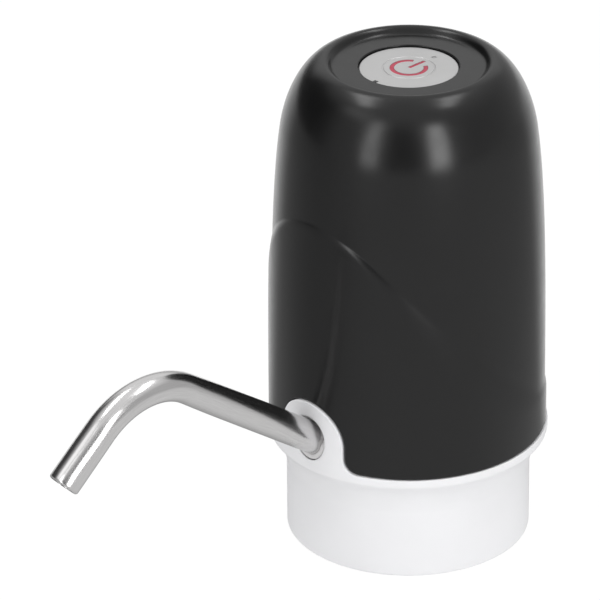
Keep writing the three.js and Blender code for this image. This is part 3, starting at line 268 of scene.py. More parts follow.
# Brushed lines of the steel tube: detail, stretch, two colours, roughness from and to, and height
steel_line_detail = 4.0
steel_stretch = (160, 3.5, 1)
steel_colours = ((0.63, 0.622, 0.622), (0.72, 0.712, 0.71))
steel_roughness = (0.14, 0.24)
steel_line_height = 4e-6

# Colour, its drift, roughness from and to, the grain's scale and height, how metallic, and the gloss
moulded_finishes = {
    "black_gloss": ((0.0045, 0.0045, 0.0046), 0.06, (0.215, 0.255), 1800, 2e-6, 0.0, 0.42),
    "white_plastic": ((0.83, 0.83, 0.845), 0.01, (0.36, 0.42), 2400, 2e-6),
    "silver": ((0.55, 0.548, 0.547), 0.03, (0.33, 0.42), 5200, 4e-6, 0.55),
    "red_light": ((0.47, 0.045, 0.085), 0.08, (0.4, 0.5), 3000, 3e-6),
    "pale_lens": ((0.4, 0.4, 0.4), 0.05, (0.2, 0.3), 2400, 2e-6),
    "pale_rubber": ((0.66, 0.65, 0.655), 0.03, (0.4, 0.5), 2600, 5e-6),
    "clear_hose": ((0.72, 0.71, 0.68), 0.04, (0.3, 0.4), 1500, 4e-6),
    "black_rubber": ((0.01, 0.01, 0.01), 0.1, (0.7, 0.8), 3000, 1e-5),
    "circuit_board": ((0.012, 0.1, 0.045), 0.15, (0.35, 0.5), 900, 1e-5),
    "black_plastic": ((0.016, 0.016, 0.017), 0.1, (0.5, 0.6), 2600, 1.2e-5),
    "grey_plastic": ((0.19, 0.195, 0.2), 0.06, (0.45, 0.55), 2600, 1e-5),
    "pump_plastic": ((0.78, 0.78, 0.77), 0.02, (0.45, 0.55), 2200, 8e-6),
    "brass": ((0.6, 0.42, 0.15), 0.08, (0.28, 0.42), 2600, 6e-6, 1.0),
    "copper": ((0.6, 0.25, 0.11), 0.08, (0.3, 0.45), 2600, 6e-6, 1.0),
    "motor_steel": ((0.5, 0.51, 0.52), 0.08, (0.3, 0.42), 2600, 6e-6, 1.0),
    "screw_steel": ((0.5, 0.5, 0.5), 0.08, (0.25, 0.4), 2600, 6e-6, 1.0),
    "battery_wrap": ((0.05, 0.16, 0.45), 0.06, (0.3, 0.42), 1500, 1e-5),
    "red_lead": ((0.43, 0.015, 0.015), 0.06, (0.4, 0.5), 2400, 1e-5),
    "black_lead": ((0.007, 0.007, 0.007), 0.1, (0.4, 0.5), 2400, 1e-5),
}


def feed(tree, made, inputs):
    """Sets each input of a node to its value, or joins it to the output that feeds it."""
    for socket, value in inputs.items():
        if isinstance(value, bpy.types.NodeSocket):
            tree.links.new(value, made.inputs[socket])
        else:
            made.inputs[socket].default_value = value
    return made


def node(tree, kind, inputs):
    return feed(tree, tree.nodes.new(kind), inputs)


def new_material(name):
    material = bpy.data.materials.new(name)
    material.use_nodes = True
    tree = material.node_tree
    return material, tree, tree.nodes["Principled BSDF"]


def noise(tree, scale, detail=noise_detail, stretch=None):
    """Noise over the piece, or along its marks where it is stretched."""
    place = node(tree, "ShaderNodeTexCoord", {}).outputs
    source = place["Object"]
    if stretch:
        source = node(tree, "ShaderNodeMapping", {"Vector": place["UV"], "Scale": stretch}).outputs["Vector"]
    inputs = {"Vector": source, "Scale": scale, "Detail": detail}
    return node(tree, "ShaderNodeTexNoise", inputs).outputs["Fac"]


def ranged(tree, source, start, end, low=0.0, high=1.0, way="SMOOTHSTEP"):
    """Goes from low to high while the source goes from start to end."""
    change = node(tree, "ShaderNodeMapRange", {
        "Value": source, "From Min": start, "From Max": end, "To Min": low, "To Max": high,
    })
    change.interpolation_type = way
    return change.outputs["Result"]


def tint(tree, source, *colours):
    ramp = node(tree, "ShaderNodeValToRGB", {"Fac": source})
    for stop, share, colour in zip(ramp.color_ramp.elements, tint_shares, colours):
        stop.position = share
        stop.color = (*colour, 1)
    return ramp.outputs["Color"]


def bump(tree, source, height):
    return node(tree, "ShaderNodeBump", {"Height": source, "Distance": height}).outputs["Normal"]


def moulded(name, colour, variation, roughness, grain_scale, grain_height, metallic=0.0, gloss=0.5):
    """Plastic, rubber, paint or plate: a slight colour drift, uneven roughness and a fine grain."""
    material, tree, shader = new_material(name)
    darker = [channel * (1 - variation) for channel in colour]
    lighter = [min(1, channel * (1 + variation)) for channel in colour]
    feed(tree, shader, {
        "Base Color": tint(tree, noise(tree, drift_scale), darker, lighter),
        "Roughness": ranged(tree, noise(tree, gloss_scale), *spread_shares, *roughness, "LINEAR"),
        "Normal": bump(tree, noise(tree, grain_scale), grain_height),
        "Metallic": metallic,
        "Specular IOR Level": gloss,
    })
    return material


def drawn_steel():
    """Steel tube: fine lines along the tube over a bright surface."""
    material, tree, shader = new_material("spout_steel")
    lines = noise(tree, 1.0, steel_line_detail, steel_stretch)
    feed(tree, shader, {
        "Base Color": tint(tree, lines, *steel_colours),
        "Roughness": ranged(tree, lines, *spread_shares, *steel_roughness, "LINEAR"),
        "Normal": bump(tree, lines, steel_line_height),
        "Metallic": 1.0,
    })
    return material


finishes = {slot: moulded(slot, *finish) for slot, finish in moulded_finishes.items()}
finishes["spout_steel"] = drawn_steel()


# Steps, shares and round corners
def even_shares(count):
    """Shares from 0 to 1 in a number of even steps."""
    return [i / count for i in range(count + 1)]


def even_angles(count, first=0.0):
    return [first + 2 * pi * i / count for i in range(count)]


def mixed(low, high, share):
    return low + (high - low) * share


def eased_share(value, start, end):
    """Goes smoothly from 0 to 1 while the value goes from start to end."""
    share = min(1, max(0, (value - start) / (end - start)))
    return share * share * (3 - 2 * share)


def bezier(p0, p1, p2, p3, share):
    back = 1 - share
    return p0 * back**3 + p1 * 3 * back**2 * share + p2 * 3 * back * share**2 + p3 * share**3


def bulged(start, end, bulge_shares):
    """Control points of a curve, with its bulges at (across, up) shares of the way."""
    pulls = ((0, 0), *bulge_shares, (1, 1))
    return [Vector([mixed(*way) for way in zip(start, end, shares)]) for shares in pulls]


def quarter_round(radius, steps=corner_steps):
    """(distance left to go along, depth) at each step of a round edge."""
    bends = [(pi / 2) * share for share in even_shares(steps)]
    return [(radius * (1 - sin(bend)), radius * (1 - cos(bend))) for bend in bends]


def arc_points(corner, before, after, radius):
    """Points of the round that takes the place of a corner, with one support point beyond each end."""
    to_before = (before - corner).normalized()
    to_after = (after - corner).normalized()
    half = to_before.angle(to_after) / 2
    reach = radius / tan(half)
    centre = corner + (to_before + to_after).normalized() * (radius / sin(half))
    start = corner + to_before * reach - centre
    end = corner + to_after * reach - centre
    sweep = start.angle(end)
    points = []
    if (before - corner).length > reach + 2 * support_gap:
        points.append(corner + to_before * (reach + support_gap))
    for share in even_shares(corner_steps):
        spoke = start * sin((1 - share) * sweep) + end * sin(share * sweep)
        points.append(centre + spoke / sin(sweep))
    if (after - corner).length > reach + 2 * support_gap:
        points.append(corner + to_after * (reach + support_gap))
    return points


def rounded(corners):
    """Outline of (across, up, round) corners, which may be open where its ends have no round."""
    places = [Vector(corner[:2]) for corner in corners]
    points = []
    for i, (place, corner) in enumerate(zip(places, corners)):
        if corner[2]:
            points += arc_points(place, places[i - 1], places[(i + 1) % len(places)], corner[2])
        else:
            points.append(place)
    return points


def box_outline(left, right, low, high):
    return [(left, low), (right, low), (right, high), (left, high)]


# Meshes made of rows of points
def add_object(name, data):
    made = bpy.data.objects.new(name, data)
    bpy.context.scene.collection.objects.link(made)
    return made


half_round_share = 0.5


def lay_uv(mesh, marks):
    """Lays a (round, along) mark on every corner, with whole faces where the round starts again."""
    layer = mesh.uv_layers.new(name="run")
    for face in mesh.polygons:
        places = [marks[mesh.loops[i].vertex_index] for i in face.loop_indices]
        turns = [place[0] for place in places]
        wraps = max(turns) > min(turns) + half_round_share
        for i, (turn, along) in zip(face.loop_indices, places):
            layer.data[i].uv = (turn + (1 if wraps and turn < half_round_share else 0), along)


class Skin:
    def __init__(self):
        self.points = []
        self.faces = []

    def row(self, points):
        first = len(self.points)
        self.points += [Vector(point) for point in points]
        return list(range(first, len(self.points)))

    def rows(self, place, columns, stations):
        """A row for each station, with a place for each column."""
        return [self.row([place(column, *station) for column in columns]) for station in stations]

    def bands(self, rows, closed=True, hole_rows=(), hole_columns=()):
        """Faces between neighbouring rows, but for open places and the hole."""
        for level, (low, high) in enumerate(zip(rows, rows[1:])):
            for i in range(len(low) if closed else len(low) - 1):
                j = (i + 1) % len(low)
                corners = (low[i], low[j], high[j], high[i])
                if None not in corners and not (level in hole_rows and i in hole_columns):
                    self.faces.append(corners)

    def ring(self, rows):
        """Faces between the rows, and between the last and the first."""
        self.bands(rows + rows[:1])

    def block(self, rows):
        """Faces between the rows, and a flat at each end."""
        self.bands(rows)
        self.faces += [tuple(rows[0]), tuple(rows[-1])]

    def fan(self, row, centre):
        middle = self.row([centre])[0]
        for i in range(len(row)):
            self.faces.append((row[i], row[(i + 1) % len(row)], middle))

    def piece(self, name, slot, marks=None):
        mesh = bpy.data.meshes.new(name)
        mesh.from_pydata(self.points, [], self.faces)
        if marks:
            lay_uv(mesh, marks)
        shape = bmesh.new()
        shape.from_mesh(mesh)
        bmesh.ops.remove_doubles(shape, verts=shape.verts, dist=merge_distance)
        bmesh.ops.recalc_face_normals(shape, faces=shape.faces)
        shape.to_mesh(mesh)
        shape.free()
        mesh.shade_smooth()
        mesh.set_sharp_from_angle(angle=face_sharpness)
        mesh.materials.append(finishes[slot])
        made = add_object(name, mesh)
        return made


def turned(outline, count=small_columns, centre=(0, 0), solid=True):
    """An outline turned about an upright axis: a solid with flat ends, or a ring from a closed outline."""
    skin = Skin()
    x, y = centre
    rows = [
        skin.row([(x + across * cos(a), y + across * sin(a), up) for a in even_angles(count)])
        for across, up in outline
    ]
    if solid:
        skin.bands(rows)
        for end in (0, -1):
            skin.fan(rows[end], (x, y, outline[end][1]))
    else:
        skin.ring(rows)
    return skin


def prism(outline, low, high, slot, name="cutter"):
    skin = Skin()
    skin.block([skin.row([(x, y, z) for x, y in outline]) for z in (low, high)])
    return skin.piece(name, slot)


def round_cutter(radius, low, high, place):
    return turned([(radius, low), (radius, high)], centre=place).piece("cutter", "white_plastic")


def cut(piece, cutters):
    """Takes the cutters out of a piece and removes them."""
    for cutter in cutters:
        change = piece.modifiers.new("cut", "BOOLEAN")
        change.operation = "DIFFERENCE"
        change.solver = "EXACT"
        change.object = cutter
    bake(piece)
    for cutter in cutters:
        bpy.data.objects.remove(cutter)


def soften(piece, width):
    change = piece.modifiers.new("soften", "BEVEL")
    change.width = width
    change.segments = bevel_steps
    change.limit_method = "ANGLE"
    change.angle_limit = bevel_sharpness
    bake(piece)


def bake(piece):
    """Makes the modifiers' result the piece's own mesh."""
    graph = bpy.context.evaluated_depsgraph_get()
    mesh = bpy.data.meshes.new_from_object(piece.evaluated_get(graph))
    piece.modifiers.clear()
    piece.data = mesh
    mesh.shade_smooth()
    mesh.set_sharp_from_angle(angle=baked_sharpness)


# Shell's outer skin by the angle from the spout and the height
hem_height = rim_top + shell_gap
plate_height = crest_height - plate_drop
shell_hip = (shell_hip_radius, shell_hip_height)
side_points = bulged((shell_foot_radius, hem_height), shell_hip, side_bulge_shares)
crown_points = bulged(shell_hip, (crest_radius, crest_height), crown_bulge_shares)
side_samples = [bezier(*side_points, share) for share in even_shares(side_steps)]
side_heights = [point.y for point in side_samples]
settling_passes = 3


def side_radius(height):
    if height <= hem_height:
        return shell_foot_radius
    above = min(max(bisect_right(side_heights, height), 1), side_steps)
    low, high = side_samples[above - 1], side_samples[above]
    return mixed(low.x, high.x, min(1, (height - low.y) / (high.y - low.y)))


def ledge_height(turn):
    return sum(swing * cos(i * turn) for i, swing in enumerate(ledge_swings))


def swelling(turn, rising, falling):
    """Shares of a rise and of a fall, from the front over the side to the back."""
    aside = abs((turn + pi) % (2 * pi) - pi)
    return eased_share(aside, *rising), eased_share(aside, *falling)


def band_height(turn):
    """Height of the sloping band under the ledge: narrow in front and at the back, wide at the sides."""
    rise, fall = swelling(turn, ledge_soft_from, ledge_soft_until)
    return ledge_band + ledge_softening * (rise - fall)


def step_size(turn):
    """How far the panel stands out of the side under the ledge: most of all at the sides."""
    rise, fall = swelling(turn, step_rising, step_falling)
    return step_front + (step_aside - step_front) * rise - (step_aside - step_back) * fall


def panel_radius(turn, height):
    """Radius of the shell's side, the raised panel under the ledge included."""
    ledge = ledge_height(turn)
    if height >= ledge:
        return side_radius(height)
    band_share = 1 - (1 - min(1, (ledge - height) / band_height(turn))) ** ledge_power
    return side_radius(height) + step_size(turn) * band_share


def spout_side(turn, radius, height):
    """Point at an angle from the spout's direction."""
    return Vector((-radius * cos(turn), -radius * sin(turn), height))


def panel_place(turn, height, depth):
    """Point of the shell's side, sunk into it by a depth."""
    return spout_side(turn, panel_radius(turn, height) - depth, height)


def on_panel(across, height, depth, front=True):
    """Point of the shell's side at a sideways distance from the middle of its front or back."""
    turn = 0
    for _ in range(settling_passes):
        turn = asin(across / (panel_radius(turn, height) - depth))
        if not front:
            turn = pi - turn
    return panel_place(turn, height, depth)


# Outline of the arch, from its right foot over the top to its left foot
def arch_chain(grow, reach, count):
    """Points (across, up) and inward directions, spaced evenly along the outline."""
    half = arch_half_width + grow
    foot = arch_foot_radius - grow
    foot_top = rim_top + arch_foot_radius
    bends = [(pi / 2) * share for share in even_shares(arc_steps)]
    trace = [Vector((reach, foot_top - foot))]
    trace += [Vector((half + foot - foot * sin(bend), foot_top - foot * cos(bend))) for bend in bends]
    trace += [Vector((half * cos(bend), arch_springing + (arch_rise + grow) * sin(bend))) for bend in bends]
    trace += [Vector((-point.x, point.y)) for point in reversed(trace[:-1])]
    lengths = [0.0]
    for first, second in zip(trace, trace[1:]):
        lengths.append(lengths[-1] + (second - first).length)
    chain = []
    index = 0
    for share in even_shares(count - 1):
        wanted = lengths[-1] * share
        while index < len(lengths) - 2 and lengths[index + 1] < wanted:
            index += 1
        part = (wanted - lengths[index]) / (lengths[index + 1] - lengths[index])
        chain.append(trace[index].lerp(trace[index + 1], min(1, part)))
    inward = []
    for before, after in zip(chain[:1] + chain[:-1], chain[1:] + chain[-1:]):
        along = after - before
        inward.append(Vector((-along.y, along.x)).normalized())
    inward[0] = inward[-1] = Vector((0, -1))
    return chain, inward


# Shell, laid as a grid of upright lines with open blocks for the arch and the charging mouth
patch_half_turn = radians(27.5)
patch_rows = 15
side_rows = (38, 7, 40)
crown_rows = 26
crown_slope_share = 0.01
arch_rings = 7
arch_ring_power = 1.3
mouth_rings = 4
mouth_block_half_turn = radians(12)
mouth_block_half_height = 0.0045
mouth_middle = Vector((0, port_height))
line_count = round(2 * pi / column_step)
shell_turns = [-pi / 2 + 2 * pi * (i + 0.5) / line_count for i in range(line_count)]


def lines_between(low, high):
    """First and last upright line between two angles."""
    inside = [i for i, turn in enumerate(shell_turns) if low < turn < high]
    return inside[0], inside[-1]


patch_left, patch_right = lines_between(-patch_half_turn, patch_half_turn)
hem_lines = [*range(patch_right, line_count), *range(patch_left + 1)]
mouth_left, mouth_right = lines_between(pi - mouth_block_half_turn, pi + mouth_block_half_turn)


def shell_levels(turn):
    """Heights of one upright line, from the hem to the hip."""
    ledge = ledge_height(turn)
    marks = (hem_height + hem_round + support_gap, ledge - band_height(turn), ledge, shell_hip_height)
    levels = []
    for low, high, count in zip(marks, marks[1:], side_rows):
        levels += [mixed(low, high, share) for share in even_shares(count)[:-1]]
    return levels


def lay_shell(skin, depth):
    """One wall of the shell's side and crown, with None where the arch's patch is open."""
    rows = []
    for level, heights in enumerate(zip(*[shell_levels(turn) for turn in shell_turns])):
        row = []
        for i, (turn, height) in enumerate(zip(shell_turns, heights)):
            if patch_left < i < patch_right and level < patch_rows:
                row.append(None)
            else:
                row += skin.row([panel_place(turn, height, depth)])
        rows.append(row)
    for share in even_shares(crown_rows):
        before, after = max(0, share - crown_slope_share), min(1, share + crown_slope_share)
        ahead = bezier(*crown_points, after) - bezier(*crown_points, before)
        place = bezier(*crown_points, share) + Vector((-ahead.y, ahead.x)).normalized() * depth
        too_high = depth and place.y > plate_height - plate_thickness
        if place.x < crest_radius + crest_round or too_high:
            break
        rows += skin.rows(spout_side, shell_turns, [place])
    return rows


def block_loop(rows, bottom, top, left, right):
    """Points round a block of cells: along its foot, up its right side, back along its top, down its left."""
    block = [row[left:right + 1] for row in rows[bottom:top + 1]]
    rise = [row[-1] for row in block[1:-1]]
    fall = [row[0] for row in block[-2:0:-1]]
    return block[0] + rise + block[-1][::-1] + fall


def flat_place(skin, index):
    """Sideways distance and height of a point of the skin."""
    point = skin.points[index]
    return Vector((-point.y, point.z))


def mouth_core(place):
    """Nearest point to place of the box on which the charging mouth's corners turn."""
    wide, high = port_half_width - port_corner, port_half_height - port_corner
    return Vector((min(wide, max(-wide, place.x)), min(high, max(-high, place.y))))


def mouth_outline(direction, grow):
    """Point of the charging mouth's round-cornered outline in a direction from its middle."""
    wide, high = port_half_width + grow, port_half_height + grow
    place = direction * (1 / max(abs(direction.x) / wide, abs(direction.y) / high))
    core = mouth_core(place)
    out = place - core
    if out.x and out.y:
        out = out.normalized() * (port_corner + grow)
    return core + out


def punch_mouth(skin, loop, depth, grow):
    """Rings from a block's loop to the charging mouth's outline, in one wall of the shell."""
    starts = [flat_place(skin, index) - mouth_middle for index in loop]
    rows = [loop]
    for share in even_shares(mouth_rings)[1:]:
        places = [mouth_middle + start.lerp(mouth_outline(start, grow), share) for start in starts]
        rows.append(skin.row([on_panel(place.x, place.y, depth, front=False) for place in places]))
    skin.bands(rows)
    return rows[-1]


def mouth_wall(skin, outer, inner):
    """The rounded edge of the charging mouth and its straight wall."""
    rows = [outer]
    for left, depth in quarter_round(port_round)[1:]:
        points = []
        for index in outer:
            place = flat_place(skin, index) - mouth_middle
            normal = (place - mouth_core(place)).normalized()
            place += mouth_middle - normal * (port_round - left)
            points.append(on_panel(place.x, place.y, depth, front=False))
        rows.append(skin.row(points))
    skin.bands(rows + [inner])


def shell_top_rows(skin):
    """Crest, recessed plate and button hole, down to the plate's underside."""
    outline = rounded([
        (crest_radius + crest_round * 2, crest_height, 0),
        (crest_radius, crest_height, crest_round),
        (plate_radius, plate_height, plate_corner),
        (button_hole, plate_height, hole_round),
        (button_hole, plate_height - plate_thickness, 0),
    ])
    return skin.rows(spout_side, shell_turns, outline[1:])


def shell_arch():
    """(place, outward) round the arch's opening in the shell's hem, from left to right."""
    reach = panel_radius(shell_turns[patch_right], hem_height) * sin(shell_turns[patch_right])
    chain, inward = arch_chain(shell_gap, reach, 2 * patch_rows + patch_right - patch_left + 1)
    return [(place, -normal) for place, normal in zip(chain, inward)][-2:0:-1]


def shell_edge(skin, arch, offset, depth, rows=None):
    """A closed row along the hem and round the arch, offset into the shell and sunk into its wall."""
    if rows:
        hem = [rows[0][i] for i in hem_lines]
    else:
        hem = skin.row([panel_place(shell_turns[i], hem_height + offset, depth) for i in hem_lines])
    places = [place + outward * offset for place, outward in arch]
    return hem + skin.row([on_panel(place.x, place.y, depth) for place in places])


def panel_depth(skin, index):
    """How deep a point of the skin lies in the shell's wall."""
    point = skin.points[index]
    return panel_radius(atan2(-point.y, -point.x), point.z) - hypot(point.x, point.y)


def arch_patch(skin, rows, edge):
    """Rings between the edge row round the arch and the open block of the shell's grid."""
    loop = block_loop(rows, 0, patch_rows, patch_left, patch_right)
    block = loop[patch_right - patch_left:] + loop[:1]
    inner_count = len(block) - 2
    around_arch = [edge[0]] + edge[:-inner_count - 1:-1] + [edge[-inner_count - 1]]
    depths = [panel_depth(skin, index) for index in around_arch]
    rings = [around_arch]
    for ring in range(1, arch_rings):
        share = (ring / arch_rings) ** arch_ring_power
        points = []
        for here, there, depth in zip(around_arch, block, depths):
            place = flat_place(skin, here).lerp(flat_place(skin, there), share)
            points.append(on_panel(place.x, place.y, depth))
        points[0], points[-1] = skin.points[block[0]], skin.points[block[-1]]
        rings.append(skin.row(points))
    skin.bands(rings + [block], closed=False)


def make_shell():
    skin = Skin()
    arch = shell_arch()
    back_line = shell_levels(pi)
    low = max(i for i, z in enumerate(back_line) if z < port_height - mouth_block_half_height)
    high = min(i for i, z in enumerate(back_line) if z > port_height + mouth_block_half_height)
    mouths, supports, tops = [], [], []
    for depth, grow in ((0.0, port_round), (shell_wall, 0.0)):
        rows = lay_shell(skin, depth)
        skin.bands(rows, True, range(low, high), range(mouth_left, mouth_right))
        loop = block_loop(rows, low, high, mouth_left, mouth_right)
        mouths.append(punch_mouth(skin, loop, depth, grow))
        supports.append(shell_edge(skin, arch, hem_round + support_gap, depth, rows))
        arch_patch(skin, rows, supports[-1])
        tops.append(rows[-1])
    mouth_wall(skin, *mouths)
    hem = [shell_edge(skin, arch, left, depth) for left, depth in quarter_round(hem_round)]
    hem.append(shell_edge(skin, arch, 0.0, shell_wall))
    skin.bands(supports[:1] + hem + supports[1:])
    skin.bands(tops[:1] + shell_top_rows(skin) + tops[1:])
    shell = skin.piece("shell", "black_gloss")
    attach(shell, "housing")
    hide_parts("top_housing")


# Spout's own directions, and its bores
spout_foot = Vector((-rim_radius, 0, spout_height))
spout_along = Vector((-cos(spout_rise), 0, sin(spout_rise)))
spout_upward = Vector((sin(spout_rise), 0, cos(spout_rise)))
spout_across = Vector((0, -1, 0))


def bore_station(angle, radius, reach):
    """Point of a bore along the spout's axis at a distance along it."""
    rim = spout_across * (radius * cos(angle)) + spout_upward * (radius * sin(angle))
    return spout_foot + rim + spout_along * reach


def bore_point(angle, radius, cylinder):
    """Point of a bore along the spout's axis where it meets an upright cylinder."""
    rim = bore_station(angle, radius, 0)
    reach = (-sqrt(cylinder**2 - rim.y**2) - rim.x) / spout_along.x
    return rim + spout_along * reach


def mouth_radius(angle):
    """Radius of the hole in the arch, which narrows towards its top."""
    return socket_bore - mouth_narrowing * max(0, sin(angle))**2


# Base
hole_rings = 8
hole_ring_power = 0.8
open_half = 0.012
base_reach = 0.0165
base_chain_count = 111
arch_back = rim_radius - arch_thickness


def base_profile():
    """Collar and shoulder from the collar's inner foot up to the rim's foot."""
    start = Vector((collar_radius, shoulder_foot))
    points = rounded([
        (collar_bore, deck_thickness, 0), (collar_bore, floor_height, foot_round / 2),
        (collar_radius, floor_height, foot_round), (*start, 0),
    ])[:-1]
    points += [Vector((collar_radius, mixed(floor_height, shoulder_foot, s))) for s in collar_row_shares]
    end = Vector((rim_radius, shoulder_top))
    pull = Vector(shoulder_pull)
    upward = Vector((0, 1))
    reach = rim_blend * tan((end - pull).angle(upward) / 2)
    for share in even_shares(shoulder_steps):
        place = start * (1 - share)**2 + pull * 2 * share * (1 - share) + end * share**2
        if (end - place).length > reach + support_gap:
            points.append(place)
    return points + arc_points(end, points[-1], end + upward, rim_blend)[:-1]


def base_columns():
    """(angle, place, inward) round the rim, with places on the arch in front, and the open columns' ends."""
    trace, normals = arch_chain(0.0, base_reach, base_chain_count)
    patch = list(zip(reversed(trace), reversed(normals)))
    inside = [i for i, (place, _) in enumerate(patch) if abs(place.x) < open_half]
    first, last = inside[0], inside[-1]
    columns = []
    for i, (place, normal) in enumerate(patch):
        foot = place.x
        if first <= i <= last:
            foot = mixed(patch[first][0].x, patch[last][0].x, (i - first) / (last - first))
        columns.append((asin(foot / rim_radius), place, normal))
    limit = columns[-1][0]
    rest = round((2 * pi - 2 * limit) / column_step)
    columns += [(mixed(limit, 2 * pi - limit, i / rest), None, None) for i in range(1, rest)]
    return columns, first, last


def base_edge(skin, columns, offset, depth):
    """A closed row along the rim and over the arch, offset down from the edge and sunk into the wall."""
    points = []
    for turn, place, inward in columns:
        height = rim_top - offset
        if place is not None:
            spot = place + inward * offset
            turn, height = asin(spot.x / rim_radius), spot.y
        points.append(spout_side(turn, rim_radius - depth, height))
    return skin.row(points)


def open_hole(skin, front, back):
    """Hole in the arch: rings on its face, a rounded edge and the wall to its back."""
    starts = [flat_place(skin, index) for index in front]
    angles = [atan2((start.y - spout_height) * cos(spout_rise), start.x) for start in starts]
    rows = [front]
    for share in even_shares(hole_rings)[1:]:
        points = []
        for start, angle in zip(starts, angles):
            rim = bore_point(angle, mouth_radius(angle) + mouth_round, rim_radius)
            place = start.lerp(Vector((-rim.y, rim.z)), share ** hole_ring_power)
            points.append(spout_side(asin(place.x / rim_radius), rim_radius, place.y))
        rows.append(skin.row(points))
    for left, depth in quarter_round(mouth_round)[1:]:
        rows.append(skin.row([
            bore_point(angle, mouth_radius(angle) + left, rim_radius - depth) for angle in angles
        ]))
    rows += skin.rows(bore_point, angles, [(socket_bore, arch_back)])
    skin.bands(rows + [back])


def add_socket(skin):
    """The socket's tube behind the arch, closed at its foot round the outlet."""
    angles = even_angles(small_columns * 2)
    outer = socket_bore + socket_wall
    back = -socket_depth - socket_back
    rows = skin.rows(bore_point, angles, [(socket_bore, arch_back)])
    rows += skin.rows(bore_station, angles, [
        (socket_bore, -socket_depth), (outlet_radius, -socket_depth), (outlet_radius, back), (outer, back),
    ])
    skin.ring(rows + skin.rows(bore_point, angles, [(outer, arch_back)]))


def add_deck_ribs(skin):
    """Grip ribs inside the collar, each with a rounded inner edge."""
    half = rib_width / 2
    root = (collar_bore + collar_radius) / 2
    nose = [mixed(-pi / 2, pi / 2, share) for share in even_shares(rib_steps)]
    outline = [(neck_radius + half * (1 - cos(a)), half * sin(a)) for a in nose]
    outline = [(root, -half)] + outline + [(root, half)]
    for turn in even_angles(rib_count, pi / rib_count):
        places = [
            (across * cos(turn) - side * sin(turn), across * sin(turn) + side * cos(turn))
            for across, side in outline
        ]
        skin.block([skin.row([(x, y, z) for x, y in places]) for z in (rib_foot, deck_thickness / 2)])


def make_base():
    skin = Skin()
    columns, first, last = base_columns()
    turns = [column[0] for column in columns]
    lower = skin.rows(spout_side, turns, base_profile())
    skin.bands(lower)
    support = base_edge(skin, columns, rim_round + support_gap, 0.0)
    skin.bands([lower[-1], support], True, (0,), range(first, last))
    edges = [support]
    edges += [base_edge(skin, columns, left, depth) for left, depth in quarter_round(rim_round)]
    edges += [base_edge(skin, columns, 0.0, depth) for depth in (rim_round + support_gap, arch_thickness)]
    skin.bands(edges)

    def lip_place(i, radius, height):
        return spout_side(turns[i], radius, deck_thickness if first <= i <= last else height)

    inner = skin.rows(lip_place, range(len(turns)), [
        (lip_radius, rim_top), (lip_radius, lip_top), (lip_inner, lip_top), (lip_inner, deck_thickness),
    ])
    skin.bands([edges[-1], inner[0]], True, (0,), range(first, last))
    skin.bands(inner + lower[:1])
    loops = []
    for foot, head in ((lower[-1], support), (inner[0], edges[-1])):
        loops.append(foot[first:last + 1] + head[first:last + 1][::-1])
    open_hole(skin, *loops)
    add_socket(skin)
    add_deck_ribs(skin)
    base = skin.piece("base", "white_plastic")
    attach(base, "housing")
    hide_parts("base_collar")


def make_deck():
    """The deck's disc inside the collar, with its countersinks and the inlet's hole."""
    disc = [(collar_bore, 0), (collar_bore, deck_thickness)]
    deck = turned(disc, round_columns).piece("deck", "white_plastic")
    cutters = [round_cutter(screw_sink, -deck_thickness, screw_seat, place) for place in post_places]
    cutters.append(round_cutter(inlet_hole, -deck_thickness, 2 * deck_thickness, spigot_place))
    cut(deck, cutters)
    soften(deck, deck_round)
    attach(deck, "housing")


# Spout tube
def tube_stations():
    """(point, direction, distance) from the foot in the socket to the nozzle's tip."""
    start = spout_foot + spout_along * tube_foot
    bend_start = spout_foot + spout_along * tube_reach
    straight = tube_reach - tube_foot
    bend_upward = spout_upward * cos(bend_aside) + spout_across * sin(bend_aside)
    stations = []
    for share in even_shares(straight_steps)[:-1]:
        stations.append((start.lerp(bend_start, share), spout_along, straight * share))
    for share in even_shares(bend_steps):
        angle = bend_angle * share
        ahead, down = bend_radius * sin(angle), bend_radius * (1 - cos(angle))
        direction = spout_along * cos(angle) - bend_upward * sin(angle)
        point = bend_start + spout_along * ahead - bend_upward * down
        stations.append((point, direction, straight + bend_radius * angle))
    end, direction, length = stations[-1]
    for share in even_shares(nozzle_steps)[1:]:
        step = nozzle_length * share
        stations.append((end + direction * step, direction, length + step))
    return stations


def make_tube():
    """Tube from the socket round the bend to a rounded lip, and back inside it, flatter in the bend."""
    stations = tube_stations()
    tip, tip_direction, length = stations[-1]
    rings = [(*station, tube_radius) for station in stations[:-1]]
    for back, inset in quarter_round(tube_lip, lip_steps):
        rings.append((tip - tip_direction * back, tip_direction, length - back, tube_radius - inset))
    rings += [(*station, tube_radius - tube_wall) for station in reversed(stations)]
    skin = Skin()
    rows = []
    marks = []
    bend_middle = tube_reach - tube_foot + bend_radius * bend_angle / 2
    side = spout_across * cos(bend_aside) - spout_upward * sin(bend_aside)
    for point, direction, run, radius in rings:
        up = direction.cross(side).normalized()
        nearness = eased_share(abs(run - bend_middle), bend_radius * bend_angle, 0)
        upright = radius * (1 - tube_flattening * nearness)
        points = []
        for i, angle in enumerate(even_angles(tube_columns)):
            points.append(point + side * (radius * cos(angle)) + up * (upright * sin(angle)))
            marks.append((i / tube_columns, run * run_per_metre))
        rows.append(skin.row(points))
    skin.ring(rows)
    tube = skin.piece("spout", "spout_steel", marks)
    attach(tube, "spout")
    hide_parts("spout_tube")


